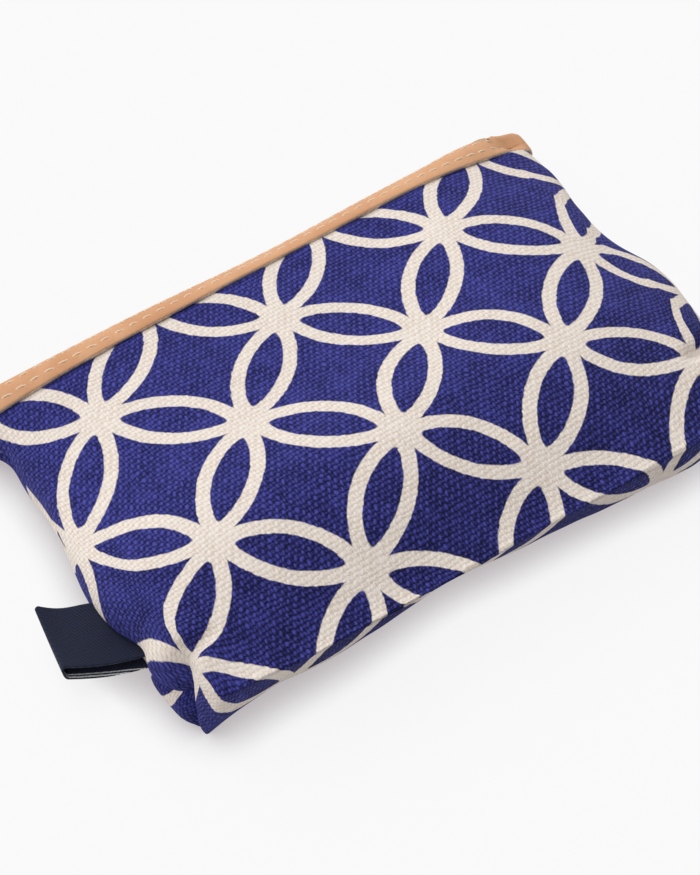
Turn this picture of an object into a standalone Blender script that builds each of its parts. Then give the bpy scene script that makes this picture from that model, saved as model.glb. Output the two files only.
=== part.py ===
"""Canvas zip pouch with a boxed bottom, lying on its back.

X runs along the zip, from its open end to its closed end. Y runs from the boxed bottom to the
mouth, and Z is up. The origin is on the table, under the middle of the bag. Lengths are metres.
"""

import math

import bmesh
import bpy
from mathutils import Matrix, Vector

MM = 0.001

# Bag: one folded piece of canvas, sewn up both sides and boxed at both bottom corners
HALF_WIDTH = 62.5 * MM
MOUTH_FLARE = 3.0 * MM
CORNER_INSET = 5.5 * MM
LENGTH_TO_BAND = 41.0 * MM
LIP_REACH = 38.2 * MM
LIP_SKEW = 2.0 * MM
LIP_TAPER = 3.0 * MM
LIP_HEIGHT = 18.5 * MM
BOX_DEPTH = 20.0 * MM
CROSS_SEAM_REACH = 27.0 * MM
CROSS_SEAM_LEAN = 3.2 * MM
BACK_FOLD_REACH = 22.0 * MM
CROWN_HEIGHT = 4.0 * MM
HUMP_HEIGHT = 2.6 * MM
OPEN_END_SWELL = 1.3 * MM
CLOSED_END_SWELL = 4.6 * MM
CORNER_DROOP = 1.6 * MM
CORNER_STARTS = 0.94
CANVAS = 1.1 * MM

# Leather bands, sewn round the mouth
LEATHER = 1.1 * MM
ROLL_ROWS = (0.0, 0.18, 0.36, 0.48, 0.6, 0.68, 0.76, 0.84, 0.92, 1.0)
CANVAS_ROLLS_TO = 0.36
TAPE_ROLLS_FROM = 0.48
BAND_ROLLS_TO = 0.92
TAPE_END = 0.98
SEAM_GAP = 0.04

# Zip: tapes, two rows of teeth on their cords, stops
BAND_REACH = 5.2 * MM
SLOT_HALF_HEIGHT = 4.0 * MM
SLOT_END = 2.5 * MM
BACK_ROLL = 1.5 * MM
FRONT_ROLL = 4.4 * MM
TAPE = 0.6 * MM
TOOTH_PITCH = 2.0 * MM
TOOTH_LEG = 2.1 * MM
TOOTH_OVERLAP = 0.35 * MM
TOOTH_HALF_HEIGHT = 0.95 * MM
CORD_RADIUS = 0.55 * MM
CORD_CENTRE = 1.5 * MM
STOP_LENGTH = 2.0 * MM

# Slider and its pull
SLIDER_LENGTH = 8.6 * MM
NOSE_HALF_WIDTH = 3.15 * MM
TAIL_HALF_WIDTH = 3.0 * MM
WING = 0.8 * MM
FLANGE = 0.5 * MM
NOSE_CLEARANCE = 1.3 * MM
DIVIDER_HALF_WIDTH = 0.85 * MM
DIVIDER_LENGTH = 2.7 * MM
BRIDGE_HALF_LENGTH = 3.0 * MM
BRIDGE_WIDTH = 2.2 * MM
BRIDGE_GAP = 1.55 * MM
BRIDGE_AHEAD = 0.8 * MM
BRIDGE_BAR = 0.8 * MM
PULL_BAR = 0.9 * MM
PULL_LENGTH = 20.0 * MM
PULL_WIDTH = 5.0 * MM
PULL_LEG = 0.9 * MM

# Woven label, folded in two and caught in the side seam
LABEL_NEAR_Y = -3.6 * MM
LABEL_HEIGHT = 14.4 * MM
LABEL_REACH = 9.4 * MM
LABEL_SLANT = 3.2 * MM
LABEL_RISE = 2.6 * MM
LABEL_SHEET = 0.4 * MM
LABEL_LOOP_GAP = 0.7 * MM

# Clearance between pieces that touch
GAP = 0.3 * MM

# Sizes that follow from the ones above
MOUTH_HALF_WIDTH = HALF_WIDTH + MOUTH_FLARE
SLOT_HALF_LENGTH = MOUTH_HALF_WIDTH - SLOT_END - 0.5 * MM
ZIP_Y = LENGTH_TO_BAND + BAND_REACH
BACK_LIFT = LEATHER + GAP
ZIP_Z = BACK_LIFT + BACK_ROLL + SLOT_HALF_HEIGHT
MOUTH_HEIGHT = ZIP_Z + SLOT_HALF_HEIGHT + FRONT_ROLL
EDGE_FALL = 0.68 * FRONT_ROLL
TOOTH_ROOT_WIDTH = 0.65 * TOOTH_PITCH
TOOTH_HEAD_WIDTH = 0.33 * TOOTH_PITCH
CHAIN_START = -SLOT_HALF_LENGTH + 4.5 * MM
WING_INNER = TOOTH_HALF_HEIGHT + GAP + 0.1 * MM
WING_OUTER = WING_INNER + WING
SLIDER_NOSE = SLOT_HALF_LENGTH + SLOT_END - NOSE_CLEARANCE - 0.9 * MM
SLIDER_CENTRE = SLIDER_NOSE - 0.5 * SLIDER_LENGTH
DIVIDER_START = SLIDER_NOSE - DIVIDER_LENGTH - 0.4 * MM
CHAIN_END = DIVIDER_START - 1.6 * MM

# Mesh density; the columns across a panel lie closer together at its corners
COLUMNS = (0.17, 0.34, 0.5, 0.65, 0.79, 0.9, 0.965, 1.0)
ACROSS = tuple(-share for share in reversed(COLUMNS)) + (0.0,) + COLUMNS
CELLS_ACROSS = len(ACROSS) - 1
CELLS_DEEP = 6
CELLS_LONG = 10
BAND_END_CELLS = 4


def mix(a, b, share):
    return a + (b - a) * share


def smooth(share):
    share = min(max(share, 0.0), 1.0)
    return share * share * (3.0 - 2.0 * share)


def clear_scene():
    for obj in list(bpy.data.objects):
        bpy.data.objects.remove(obj, do_unlink=True)


def material(name, colour, roughness, metallic=0.0):
    found = bpy.data.materials.get(name)
    if found:
        return found
    made = bpy.data.materials.new(name)
    made.use_nodes = True
    shader = made.node_tree.nodes["Principled BSDF"]
    shader.inputs["Base Color"].default_value = (*colour, 1.0)
    shader.inputs["Roughness"].default_value = roughness
    shader.inputs["Metallic"].default_value = metallic
    return made


def add_object(name, mesh, surface, smooth_angle=40.0):
    mesh.materials.append(surface)
    mesh.shade_smooth()
    mesh.set_sharp_from_angle(angle=math.radians(smooth_angle))
    obj = bpy.data.objects.new(name, mesh)
    bpy.context.scene.collection.objects.link(obj)
    return obj


def mesh_from(name, points, faces):
    mesh = bpy.data.meshes.new(name)
    mesh.from_pydata([tuple(p) for p in points], [], faces)
    mesh.validate()
    return mesh


def thicken(obj, thickness):
    """Gives a sheet its thickness on its inner side."""
    wall = obj.modifiers.new("thickness", "SOLIDIFY")
    wall.thickness = thickness
    wall.offset = -1.0
    wall.use_even_offset = True
    wall.use_rim = True
    return wall


# Bag surface. A ring goes round the bag: across the front, down the right side,
# back across the back and up the left side. Each ring point is (panel, share).


def ring_points():
    """One closed ring of (panel, share): share is -1 to 1 across, or 0 to 1 down a side."""
    down = [i / CELLS_DEEP for i in range(1, CELLS_DEEP)]
    ring = [("front", a) for a in ACROSS]
    ring += [("right", b) for b in down]
    ring += [("back", a) for a in reversed(ACROSS)]
    ring += [("left", b) for b in reversed(down)]
    return ring


def front_height(along):
    """Height of the front panel's middle line; along is 0 at the band and 1 at the lip."""
    straight = mix(MOUTH_HEIGHT, LIP_HEIGHT, along)
    turn_down = smooth((along - 0.8) / 0.2)
    belly = CROWN_HEIGHT * math.sin(math.pi * min(along / 1.35, 1.0)) ** 0.9
    hump = HUMP_HEIGHT * math.exp(-(((along - 0.63) / 0.19) ** 2))
    return straight + hump + belly * (1.0 - 0.75 * turn_down)


def corner_share(across):
    """0 along the lip, rising to 1 at the end of the cross seam."""
    corner = min(max((abs(across) - CORNER_STARTS) / (1.0 - CORNER_STARTS), 0.0), 1.0)
    return 1.0 - (1.0 - corner ** 2.5) ** 0.4


def lip_y(across):
    """The fold at the foot of the front panel. It leans a little and draws back towards its corners."""
    taper = max((abs(across) - 0.72) / 0.28, 0.0) ** 1.5
    return -LIP_REACH - LIP_SKEW * across + LIP_TAPER * taper


def front_point(across, along):
    edge = abs(across)
    x = across * (HALF_WIDTH - CORNER_INSET)
    seam_y = -CROSS_SEAM_REACH + 0.5 * CROSS_SEAM_LEAN
    y = mix(LENGTH_TO_BAND, mix(lip_y(across), seam_y, corner_share(across)), along)
    z_middle = front_height(along)
    z_corner = mix(MOUTH_HEIGHT - EDGE_FALL, BOX_DEPTH, smooth(along))
    z = mix(z_middle, z_corner, edge ** 3)
    tip = math.exp(-(((edge - 0.955) / 0.07) ** 2)) * smooth((along - 0.86) / 0.14)
    return Vector((x, y, z - CORNER_DROOP * tip))


def back_point(across, along):
    edge = abs(across)
    x = across * (HALF_WIDTH - CORNER_INSET)
    fold_y = mix(-BACK_FOLD_REACH, -CROSS_SEAM_REACH - 0.5 * CROSS_SEAM_LEAN, smooth((edge - 0.45) / 0.55))
    y = mix(LENGTH_TO_BAND, fold_y, along)
    lift = BACK_LIFT * (1.0 - smooth(along / 0.2))
    return Vector((x, y, lift))


def side_point(side, down, along):
    sign = 1.0 if side == "right" else -1.0
    top = front_point(sign, along)
    bottom = back_point(sign, along)
    point = top.lerp(bottom, down)
    bulge = 1.0 - abs(2.0 * down - 1.0) ** 1.7
    ends_flat = 1.0 - max((along - 0.88) / 0.12, 0.0) ** 2
    out = CORNER_INSET * mix(0.18, 1.0, ends_flat) + MOUTH_FLARE * (1.0 - smooth(along / 0.3))
    swell = CLOSED_END_SWELL if sign > 0 else OPEN_END_SWELL
    out += swell * math.sin(math.pi * smooth((along - 0.2) / 0.8)) * ends_flat
    point.x += sign * out * bulge
    return point


def bag_point(panel, share, along):
    if panel == "front":
        return front_point(share, along)
    if panel == "back":
        return back_point(share, along)
    return side_point(panel, share, along)


def bottom_point(across, down):
    """The bottom panel, from the lip (down 0) to the back fold (down 1): it drops straight from
    the lip, then curves under to lie flat, and meets the cross seam at both ends."""
    start = front_point(across, 1.0)
    start.y = lip_y(across)
    end = back_point(across, 1.0)
    at_corner = smooth((abs(across) - 0.6) / 0.35)
    drop = start + Vector((0.0, -0.9 * MM, -mix(8.5 * MM, 9.5 * MM, at_corner)))
    under = end - Vector((0.0, mix(7.0 * MM, 1.5 * MM, at_corner), 0.0))
    up = 1.0 - down
    curve = up ** 3 * start + 3.0 * down * up ** 2 * drop + 3.0 * down ** 2 * up * under + down ** 3 * end
    side = "right" if across > 0.0 else "left"
    return curve.lerp(side_point(side, down, 1.0), corner_share(across))


def slot_point(panel, share):
    """The edge of the zip's slot, in the plane where the tape's outer face lies."""
    y = ZIP_Y + 0.5 * TAPE
    if panel == "front":
        return Vector((share * SLOT_HALF_LENGTH, y, ZIP_Z + SLOT_HALF_HEIGHT))
    if panel == "back":
        return Vector((share * SLOT_HALF_LENGTH, y, ZIP_Z - SLOT_HALF_HEIGHT))
    sign = 1.0 if panel == "right" else -1.0
    turn = math.pi * share
    x = sign * (SLOT_HALF_LENGTH + SLOT_END * math.sin(turn))
    return Vector((x, y, ZIP_Z + SLOT_HALF_HEIGHT * math.cos(turn)))


def roll(reach, rise, part):
    """A straight run and then a quarter turn, at part (0 to 1) of its length."""
    radius = min(reach, rise)
    straight = reach - radius
    turn_length = 0.25 * math.pi * (radius + rise)
    run = part * (straight + turn_length)
    if run <= straight:
        return run, 0.0
    turn = 0.5 * math.pi * (run - straight) / turn_length
    return straight + radius * math.sin(turn), rise * (1.0 - math.cos(turn))


def mouth_point(panel, share, part):
    """Rolls from the bag's last ring (part 0) over to the slot's edge (part 1)."""
    low = bag_point(panel, share, 0.0)
    high = slot_point(panel, share)
    rise = math.hypot(high.x - low.x, high.z - low.z)
    forward, inward = roll(high.y - low.y, rise, part)
    inward /= rise
    return Vector((mix(low.x, high.x, inward), low.y + forward, mix(low.z, high.z, inward)))


def rows_between(start, end):
    return [part for part in ROLL_ROWS if start - 1e-6 <= part <= end + 1e-6]


def strip_mesh(name, rows):
    """A sheet from rows of points, with its outer side on the right of the rows' direction."""
    count = len(rows[0])
    points = [p for row in rows for p in row]
    faces = []
    for r in range(len(rows) - 1):
        for c in range(count - 1):
            a = r * count + c
            faces.append((a, a + count, a + count + 1, a + 1))
    return mesh_from(name, points, faces)


def shell_mesh(name, rows, inner, outer):
    """A closed sheet that lies between two distances off the surface through the rows."""
    count = len(rows[0])
    middle = strip_mesh(name + "_middle", rows)
    across = [v.co + v.normal * outer for v in middle.vertices]
    across += [v.co + v.normal * inner for v in middle.vertices]
    bpy.data.meshes.remove(middle)
    inside = len(rows) * count
    faces = []
    for r in range(len(rows) - 1):
        for c in range(count - 1):
            a = r * count + c
            b = a + count + 1
            faces += [(a, a + count, b), (a, b, a + 1)]
            faces += [(inside + a, inside + a + 1, inside + b), (inside + a, inside + b, inside + a + count)]
    last = (len(rows) - 1) * count
    rim = list(range(count))
    rim += [r * count + count - 1 for r in range(1, len(rows))]
    rim += [last + c for c in reversed(range(count - 1))]
    rim += [r * count for r in reversed(range(1, len(rows) - 1))]
    for k, a in enumerate(rim):
        b = rim[(k + 1) % len(rim)]
        faces.append((a, b, inside + b, inside + a))
    return mesh_from(name, across, faces)


def make_canvas_body():
    ring = ring_points()
    count = len(ring)
    points = []
    rows = 0
    for part in reversed(rows_between(0.1, CANVAS_ROLLS_TO)):
        points += [mouth_point(panel, share, part) for panel, share in ring]
        rows += 1
    for step in range(CELLS_LONG + 1):
        along = 1.0 - (1.0 - step / CELLS_LONG) ** 1.25
        points += [bag_point(panel, share, along) for panel, share in ring]
        rows += 1
    faces = []
    for r in range(rows - 1):
        for c in range(count):
            a = r * count + c
            b = r * count + (c + 1) % count
            faces.append((a, a + count, b + count, b))
    # The bottom panel shares its rim with the last ring
    last = (rows - 1) * count
    rim = {}
    for i in range(CELLS_ACROSS + 1):
        rim[(i, 0)] = last + i
        rim[(i, CELLS_DEEP)] = last + CELLS_ACROSS + CELLS_DEEP + (CELLS_ACROSS - i)
    for j in range(1, CELLS_DEEP):
        rim[(CELLS_ACROSS, j)] = last + CELLS_ACROSS + j
        rim[(0, j)] = last + count - j
    for i in range(1, CELLS_ACROSS):
        for j in range(1, CELLS_DEEP):
            rim[(i, j)] = len(points)
            points.append(bottom_point(ACROSS[i], j / CELLS_DEEP))
    for i in range(CELLS_ACROSS):
        for j in range(CELLS_DEEP):
            faces.append((rim[(i, j)], rim[(i, j + 1)], rim[(i + 1, j + 1)], rim[(i + 1, j)]))
    mesh = mesh_from("canvas_body", points, faces)
    obj = add_object("canvas_body", mesh, material("printed_canvas", (0.045, 0.04, 0.27), 0.9))
    thicken(obj, CANVAS)
    return obj


def half_ring(front):
    """The ring from one side seam to the other, over the front or under the back."""
    end = [(0.5 - SEAM_GAP) * k / BAND_END_CELLS for k in range(1, BAND_END_CELLS + 1)]
    if front:
        half = [("left", b) for b in reversed(end)] + [("front", a) for a in ACROSS]
        return half + [("right", b) for b in end]
    half = [("right", 1.0 - b) for b in reversed(end)] + [("back", a) for a in reversed(ACROSS)]
    return half + [("left", 1.0 - b) for b in end]


def make_leather_band(name, front):
    rows = []
    for part in reversed(rows_between(0.0, BAND_ROLLS_TO)):
        rows.append([mouth_point(panel, share, part) for panel, share in half_ring(front)])
    mesh = shell_mesh(name, rows, GAP, GAP + LEATHER)
    return add_object(name, mesh, material("tan_leather", (0.70, 0.36, 0.16), 0.55))


def make_zip_tape(name, front):
    sign = 1.0 if front else -1.0
    panel = "front" if front else "back"
    shares = [min(max(a, -TAPE_END), TAPE_END) for a in ACROSS]
    if not front:
        shares.reverse()
    rows = []
    inner_edge = TOOTH_LEG + GAP
    rows.append([slot_point(panel, a) - Vector((0, 0, sign * (SLOT_HALF_HEIGHT - inner_edge))) for a in shares])
    for part in reversed(rows_between(TAPE_ROLLS_FROM, 1.0)):
        rows.append([mouth_point(panel, a, part) for a in shares])
    mesh = shell_mesh(name, rows, -TAPE, 0.0)
    return add_object(name, mesh, material("zip_tape", (0.55, 0.42, 0.28), 0.85))


def make_zip_teeth(name, sign, offset):
    """A row of teeth clamped on its cord, swept along X as one solid. sign is the tape's side."""
    corners = 8
    cord = []
    tooth = []
    head = -TOOTH_OVERLAP
    for k in range(corners):
        turn = math.tau * (k + 0.5) / corners
        cord.append((CORD_CENTRE + CORD_RADIUS * math.cos(turn), CORD_RADIUS * math.sin(turn), 0.0))
    half = TOOTH_HALF_HEIGHT
    # Round the tooth: two legs over the cord, then the head that reaches past the middle
    tooth = [
        (TOOTH_LEG, 0.45 * half),
        (TOOTH_LEG - 0.25 * MM, half),
        (0.75 * MM, half),
        (head, 0.6 * half),
        (head, -0.6 * half),
        (0.75 * MM, -half),
        (TOOTH_LEG - 0.25 * MM, -half),
        (TOOTH_LEG, -0.45 * half),
    ]
    widths = [TOOTH_ROOT_WIDTH] * 3 + [TOOTH_HEAD_WIDTH] * 2 + [TOOTH_ROOT_WIDTH] * 3
    first = CHAIN_START + offset
    last = CHAIN_END
    count = int((last - first) / TOOTH_PITCH) + 1

    def cord_ring(x):
        return [(x, y, z) for z, y, _ in cord]

    def tooth_ring(x, way):
        return [(x + way * 0.5 * w, y, z) for (z, y), w in zip(tooth, widths)]

    rings = [cord_ring(CHAIN_START - 1.0 * MM)]
    for k in range(count):
        centre = first + k * TOOTH_PITCH
        edge = 0.5 * TOOTH_ROOT_WIDTH
        rings += [cord_ring(centre - edge), tooth_ring(centre, -1), tooth_ring(centre, 1), cord_ring(centre + edge)]
    rings.append(cord_ring(last + 1.0 * MM))
    points = []
    for ring in rings:
        for x, y, z in ring:
            points.append((x, ZIP_Y + y, ZIP_Z + sign * z))
    faces = []
    for r in range(len(rings) - 1):
        for c in range(corners):
            a = r * corners + c
            b = r * corners + (c + 1) % corners
            faces.append((a, b, b + corners, a + corners))
    end = (len(rings) - 1) * corners
    faces.append(tuple(reversed(range(corners))))
    faces.append(tuple(end + c for c in range(corners)))
    if sign > 0:
        faces = [tuple(reversed(face)) for face in faces]
    mesh = mesh_from(name, points, faces)
    return add_object(name, mesh, material("zip_brass", (0.45, 0.34, 0.18), 0.35, 1.0), 30.0)


def box(name, low, high, bevel=0.0):
    mesh = bpy.data.meshes.new(name)
    made = bmesh.new()
    bmesh.ops.create_cube(made, size=1.0)
    size = Vector(high) - Vector(low)
    centre = (Vector(high) + Vector(low)) / 2.0
    bmesh.ops.scale(made, vec=size, verts=made.verts)
    if bevel:
        bmesh.ops.bevel(made, geom=made.edges[:], offset=bevel, segments=1, affect="EDGES", profile=0.5)
    bmesh.ops.translate(made, vec=centre, verts=made.verts)
    made.to_mesh(mesh)
    made.free()
    return mesh


def make_top_stop(name, sign):
    x = DIVIDER_START + 0.2 * MM
    low = min(sign * 1.2 * MM, sign * TOOTH_LEG)
    high = max(sign * 1.2 * MM, sign * TOOTH_LEG)
    mesh = box(
        name,
        (x, ZIP_Y - TOOTH_HALF_HEIGHT, ZIP_Z + low),
        (x + STOP_LENGTH, ZIP_Y + TOOTH_HALF_HEIGHT, ZIP_Z + high),
        0.2 * MM,
    )
    return add_object(name, mesh, material("zip_brass", (0.45, 0.34, 0.18), 0.35, 1.0), 30.0)


def make_bottom_stop():
    high_x = CHAIN_START - 1.0 * MM - GAP
    half_z = TOOTH_LEG - 0.2 * MM
    mesh = box(
        "bottom_stop",
        (high_x - STOP_LENGTH, ZIP_Y - 1.1 * MM, ZIP_Z - half_z),
        (high_x, ZIP_Y + 1.1 * MM, ZIP_Z + half_z),
        0.35 * MM,
    )
    return add_object("bottom_stop", mesh, material("zip_brass", (0.45, 0.34, 0.18), 0.35, 1.0), 30.0)


def prism(name, outline, low_y, high_y):
    """A closed solid from an outline in X and Z, between two depths along Y."""
    count = len(outline)
    points = [(x, low_y, z) for x, z in outline] + [(x, high_y, z) for x, z in outline]
    faces = [tuple(range(count)), tuple(count + i for i in reversed(range(count)))]
    for i in range(count):
        j = (i + 1) % count
        faces.append((i, i + count, j + count, j))
    mesh = mesh_from(name, points, faces)
    made = bmesh.new()
    made.from_mesh(mesh)
    bmesh.ops.recalc_face_normals(made, faces=made.faces)
    made.to_mesh(mesh)
    made.free()
    return mesh


def guide(name, mesh):
    obj = bpy.data.objects.new(name, mesh)
    bpy.context.scene.collection.objects.link(obj)
    obj.hide_render = True
    obj.display_type = "WIRE"
    return obj


def unite(obj, tool):
    union = obj.modifiers.new(tool.name, "BOOLEAN")
    union.operation = "UNION"
    union.solver = "EXACT"
    union.object = tool


def wing_outline():
    """Half outline of a wing, from tail to nose, mirrored in Z. The nose has two round lobes."""
    tail = -0.5 * SLIDER_LENGTH
    nose = 0.5 * SLIDER_LENGTH
    upper = [
        (tail, 0.75 * TAIL_HALF_WIDTH),
        (tail + 0.6 * MM, TAIL_HALF_WIDTH),
        (tail + 0.45 * SLIDER_LENGTH, TAIL_HALF_WIDTH + 0.1 * MM),
        (nose - 2.6 * MM, NOSE_HALF_WIDTH),
        (nose - 1.0 * MM, NOSE_HALF_WIDTH),
        (nose - 0.3 * MM, NOSE_HALF_WIDTH - 0.6 * MM),
        (nose, 0.55 * NOSE_HALF_WIDTH),
        (nose - 0.35 * MM, 0.2 * NOSE_HALF_WIDTH),
    ]
    lower = [(x, -z) for x, z in reversed(upper)]
    return upper + lower


def flange_outline(sign):
    tail = -0.5 * SLIDER_LENGTH + 0.6 * MM
    nose = 0.5 * SLIDER_LENGTH - 1.0 * MM
    outer = [(tail, TAIL_HALF_WIDTH), (tail + 0.45 * SLIDER_LENGTH, TAIL_HALF_WIDTH + 0.1 * MM)]
    outer += [(nose - 1.6 * MM, NOSE_HALF_WIDTH), (nose, NOSE_HALF_WIDTH)]
    inner = [(x, z - FLANGE) for x, z in reversed(outer)]
    inset = 0.02 * MM
    outer = [(x, z - inset) for x, z in outer]
    return [(x, sign * z) for x, z in outer + inner]


def bridge_mesh(base_y):
    """The bridge that the pull hangs on: a flat arch along X, standing on the outer wing."""
    steps = 8
    outer = []
    inner = []
    rise = BRIDGE_GAP + BRIDGE_BAR
    sink = 0.3 * MM
    for k in range(steps + 1):
        turn = math.pi * k / steps
        squared = abs(math.sin(turn)) ** 0.6
        outer.append((BRIDGE_AHEAD - BRIDGE_HALF_LENGTH * math.cos(turn), rise * squared))
        reach = BRIDGE_HALF_LENGTH - BRIDGE_BAR
        inner.append((BRIDGE_AHEAD - reach * math.cos(turn), BRIDGE_GAP * squared))
    outline = [(outer[0][0], -sink)] + outer + [(outer[-1][0], -sink)]
    outline += [(inner[-1][0], -sink)] + list(reversed(inner)) + [(inner[0][0], -sink)]
    half = 0.5 * BRIDGE_WIDTH
    count = len(outline)
    points = [(x, base_y + y, -half) for x, y in outline] + [(x, base_y + y, half) for x, y in outline]
    made = bmesh.new()
    vertices = [made.verts.new(p) for p in points]
    for i in range(count):
        j = (i + 1) % count
        made.faces.new((vertices[i], vertices[j], vertices[j + count], vertices[i + count]))
    made.faces.new([vertices[i] for i in reversed(range(count))])
    made.faces.new([vertices[count + i] for i in range(count)])
    bmesh.ops.recalc_face_normals(made, faces=made.faces)
    mesh = bpy.data.meshes.new("bridge")
    made.to_mesh(mesh)
    made.free()
    return mesh


def make_slider():
    """Two wings joined by the divider at the nose, with flanges that hold the teeth in."""
    place = Vector((SLIDER_CENTRE, ZIP_Y, ZIP_Z))
    mesh = prism("slider", wing_outline(), WING_INNER, WING_OUTER)
    obj = add_object("slider", mesh, material("slider_metal", (0.62, 0.56, 0.47), 0.25, 1.0), 30.0)
    obj.location = place
    tools = [("inner_wing", prism("inner_wing", wing_outline(), -WING_OUTER, -WING_INNER))]
    sink = 0.2 * MM
    slot = 0.5 * TAPE + 0.35 * MM
    for sign in (1, -1):
        for way, low, high in ((1, slot, WING_INNER + sink), (-1, -WING_INNER - sink, -slot)):
            name = "flange_" + ("upper" if sign > 0 else "lower") + ("_out" if way > 0 else "_in")
            tools.append((name, prism(name, flange_outline(sign), low, high)))
    start = DIVIDER_START - SLIDER_CENTRE
    middle = start + 0.65 * DIVIDER_LENGTH
    end = start + DIVIDER_LENGTH
    diamond = [(start, 0.0), (middle, DIVIDER_HALF_WIDTH), (end, 0.6 * DIVIDER_HALF_WIDTH)]
    diamond += [(end, -0.6 * DIVIDER_HALF_WIDTH), (middle, -DIVIDER_HALF_WIDTH)]
    tools.append(("divider", prism("divider", diamond, -WING_INNER - sink, WING_INNER + sink)))
    tools.append(("bridge", bridge_mesh(WING_OUTER)))
    for name, tool_mesh in tools:
        tool = guide(name, tool_mesh)
        tool.location = place
        unite(obj, tool)
    return obj


def pull_axis():
    x = SLIDER_CENTRE + BRIDGE_AHEAD
    return Vector((x, ZIP_Y + WING_OUTER + 0.5 * PULL_BAR + GAP, ZIP_Z))


def make_pull():
    """A flat pull whose eye hangs on the bridge; its origin is on the bar that turns there."""
    half_bar = 0.5 * PULL_BAR
    eye_inner = 0.5 * BRIDGE_WIDTH + GAP
    eye_outer = eye_inner + PULL_LEG
    eye_length = BRIDGE_HALF_LENGTH + BRIDGE_BAR + GAP
    half = 0.5 * PULL_WIDTH
    outline = [
        (half_bar, eye_outer - 0.3 * MM),
        (half_bar - 0.3 * MM, eye_outer),
        (-eye_length, eye_outer),
        (-eye_length - 2.0 * MM, half),
        (-PULL_LENGTH + 2.0 * MM, half),
        (-PULL_LENGTH + 0.6 * MM, half - 0.6 * MM),
        (-PULL_LENGTH, half - 2.0 * MM),
    ]
    outline += [(x, -z) for x, z in reversed(outline)]
    eye = [(-half_bar, eye_inner), (-eye_length, eye_inner), (-eye_length, -eye_inner), (-half_bar, -eye_inner)]
    obj = add_object(
        "zip_pull",
        prism("zip_pull", outline, -half_bar, half_bar),
        material("slider_metal", (0.62, 0.56, 0.47), 0.25, 1.0),
        30.0,
    )
    obj.location = pull_axis()
    cutter = guide("pull_eye", prism("pull_eye", eye, -PULL_BAR, PULL_BAR))
    cutter.location = pull_axis()
    cut = obj.modifiers.new("eye", "BOOLEAN")
    cut.operation = "DIFFERENCE"
    cut.solver = "EXACT"
    cut.object = cutter
    soften = obj.modifiers.new("edges", "BEVEL")
    soften.width = 0.12 * MM
    soften.segments = 1
    soften.limit_method = "ANGLE"
    soften.angle_limit = math.radians(50.0)
    return obj


def make_label():
    """A woven ribbon folded in two: out from the side seam, round the fold and back."""
    steps = [0.5 + 0.02 * k for k in range(26)]
    near = min(side_point("left", 0.5, along).x for along in steps) - GAP
    far = near - LABEL_REACH
    half_gap = 0.5 * LABEL_LOOP_GAP
    turn_steps = 4
    middle_z = 8.2 * MM
    profile = [(near, half_gap)]
    profile.append((far + half_gap, half_gap))
    for k in range(1, turn_steps):
        turn = math.pi * k / turn_steps
        profile.append((far + half_gap - half_gap * math.sin(turn), half_gap * math.cos(turn)))
    profile.append((far + half_gap, -half_gap))
    profile.append((near, -half_gap))
    rows = []
    for y_share in (0.0, 1.0):
        row = []
        for x, z in profile:
            out = (near - x) / LABEL_REACH
            y = LABEL_NEAR_Y - y_share * LABEL_HEIGHT + LABEL_SLANT * out
            row.append(Vector((x, y, middle_z + z + LABEL_RISE * out)))
        rows.append(row)
    mesh = strip_mesh("woven_label", rows)
    mesh.flip_normals()
    obj = add_object("woven_label", mesh, material("label_navy", (0.008, 0.01, 0.022), 0.8))
    wall = thicken(obj, LABEL_SHEET)
    wall.offset = 1.0
    return obj


def main():
    clear_scene()
    make_canvas_body()
    make_leather_band("front_leather_band", True)
    make_leather_band("back_leather_band", False)
    make_zip_tape("front_zip_tape", True)
    make_zip_tape("back_zip_tape", False)
    make_zip_teeth("front_zip_teeth", 1.0, 0.5 * TOOTH_ROOT_WIDTH)
    make_zip_teeth("back_zip_teeth", -1.0, 0.5 * TOOTH_ROOT_WIDTH + 0.5 * TOOTH_PITCH)
    make_top_stop("front_top_stop", 1.0)
    make_top_stop("back_top_stop", -1.0)
    make_bottom_stop()
    make_slider()
    make_pull()
    make_label()


main()
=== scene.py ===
"""The looks of a flat canvas zip pouch that lies on its back, laid out as a Blender add-on."""

import math

import bpy
import numpy as np
from mathutils import Matrix, Vector


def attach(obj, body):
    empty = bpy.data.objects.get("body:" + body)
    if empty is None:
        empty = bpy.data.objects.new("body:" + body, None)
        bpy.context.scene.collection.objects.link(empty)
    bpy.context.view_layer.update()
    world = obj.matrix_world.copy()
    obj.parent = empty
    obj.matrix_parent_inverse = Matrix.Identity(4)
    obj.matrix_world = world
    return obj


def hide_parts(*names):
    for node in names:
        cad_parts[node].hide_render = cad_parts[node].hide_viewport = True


bl_info = {
    "name": "Zip pouch",
    "version": (1, 0, 0),
    "blender": (4, 5, 0),
    "location": "3D View > Sidebar > Zip pouch",
    "description": "Makes the printed canvas, leather, zip and label of a small zip pouch, and its stage",
    "category": "Object",
}

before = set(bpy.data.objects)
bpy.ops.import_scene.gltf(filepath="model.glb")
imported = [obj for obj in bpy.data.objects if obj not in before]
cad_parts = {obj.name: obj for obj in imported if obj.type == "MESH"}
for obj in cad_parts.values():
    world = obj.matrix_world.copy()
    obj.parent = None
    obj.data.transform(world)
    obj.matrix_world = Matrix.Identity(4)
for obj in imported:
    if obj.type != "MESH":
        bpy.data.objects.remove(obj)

MM = 0.001

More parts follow.
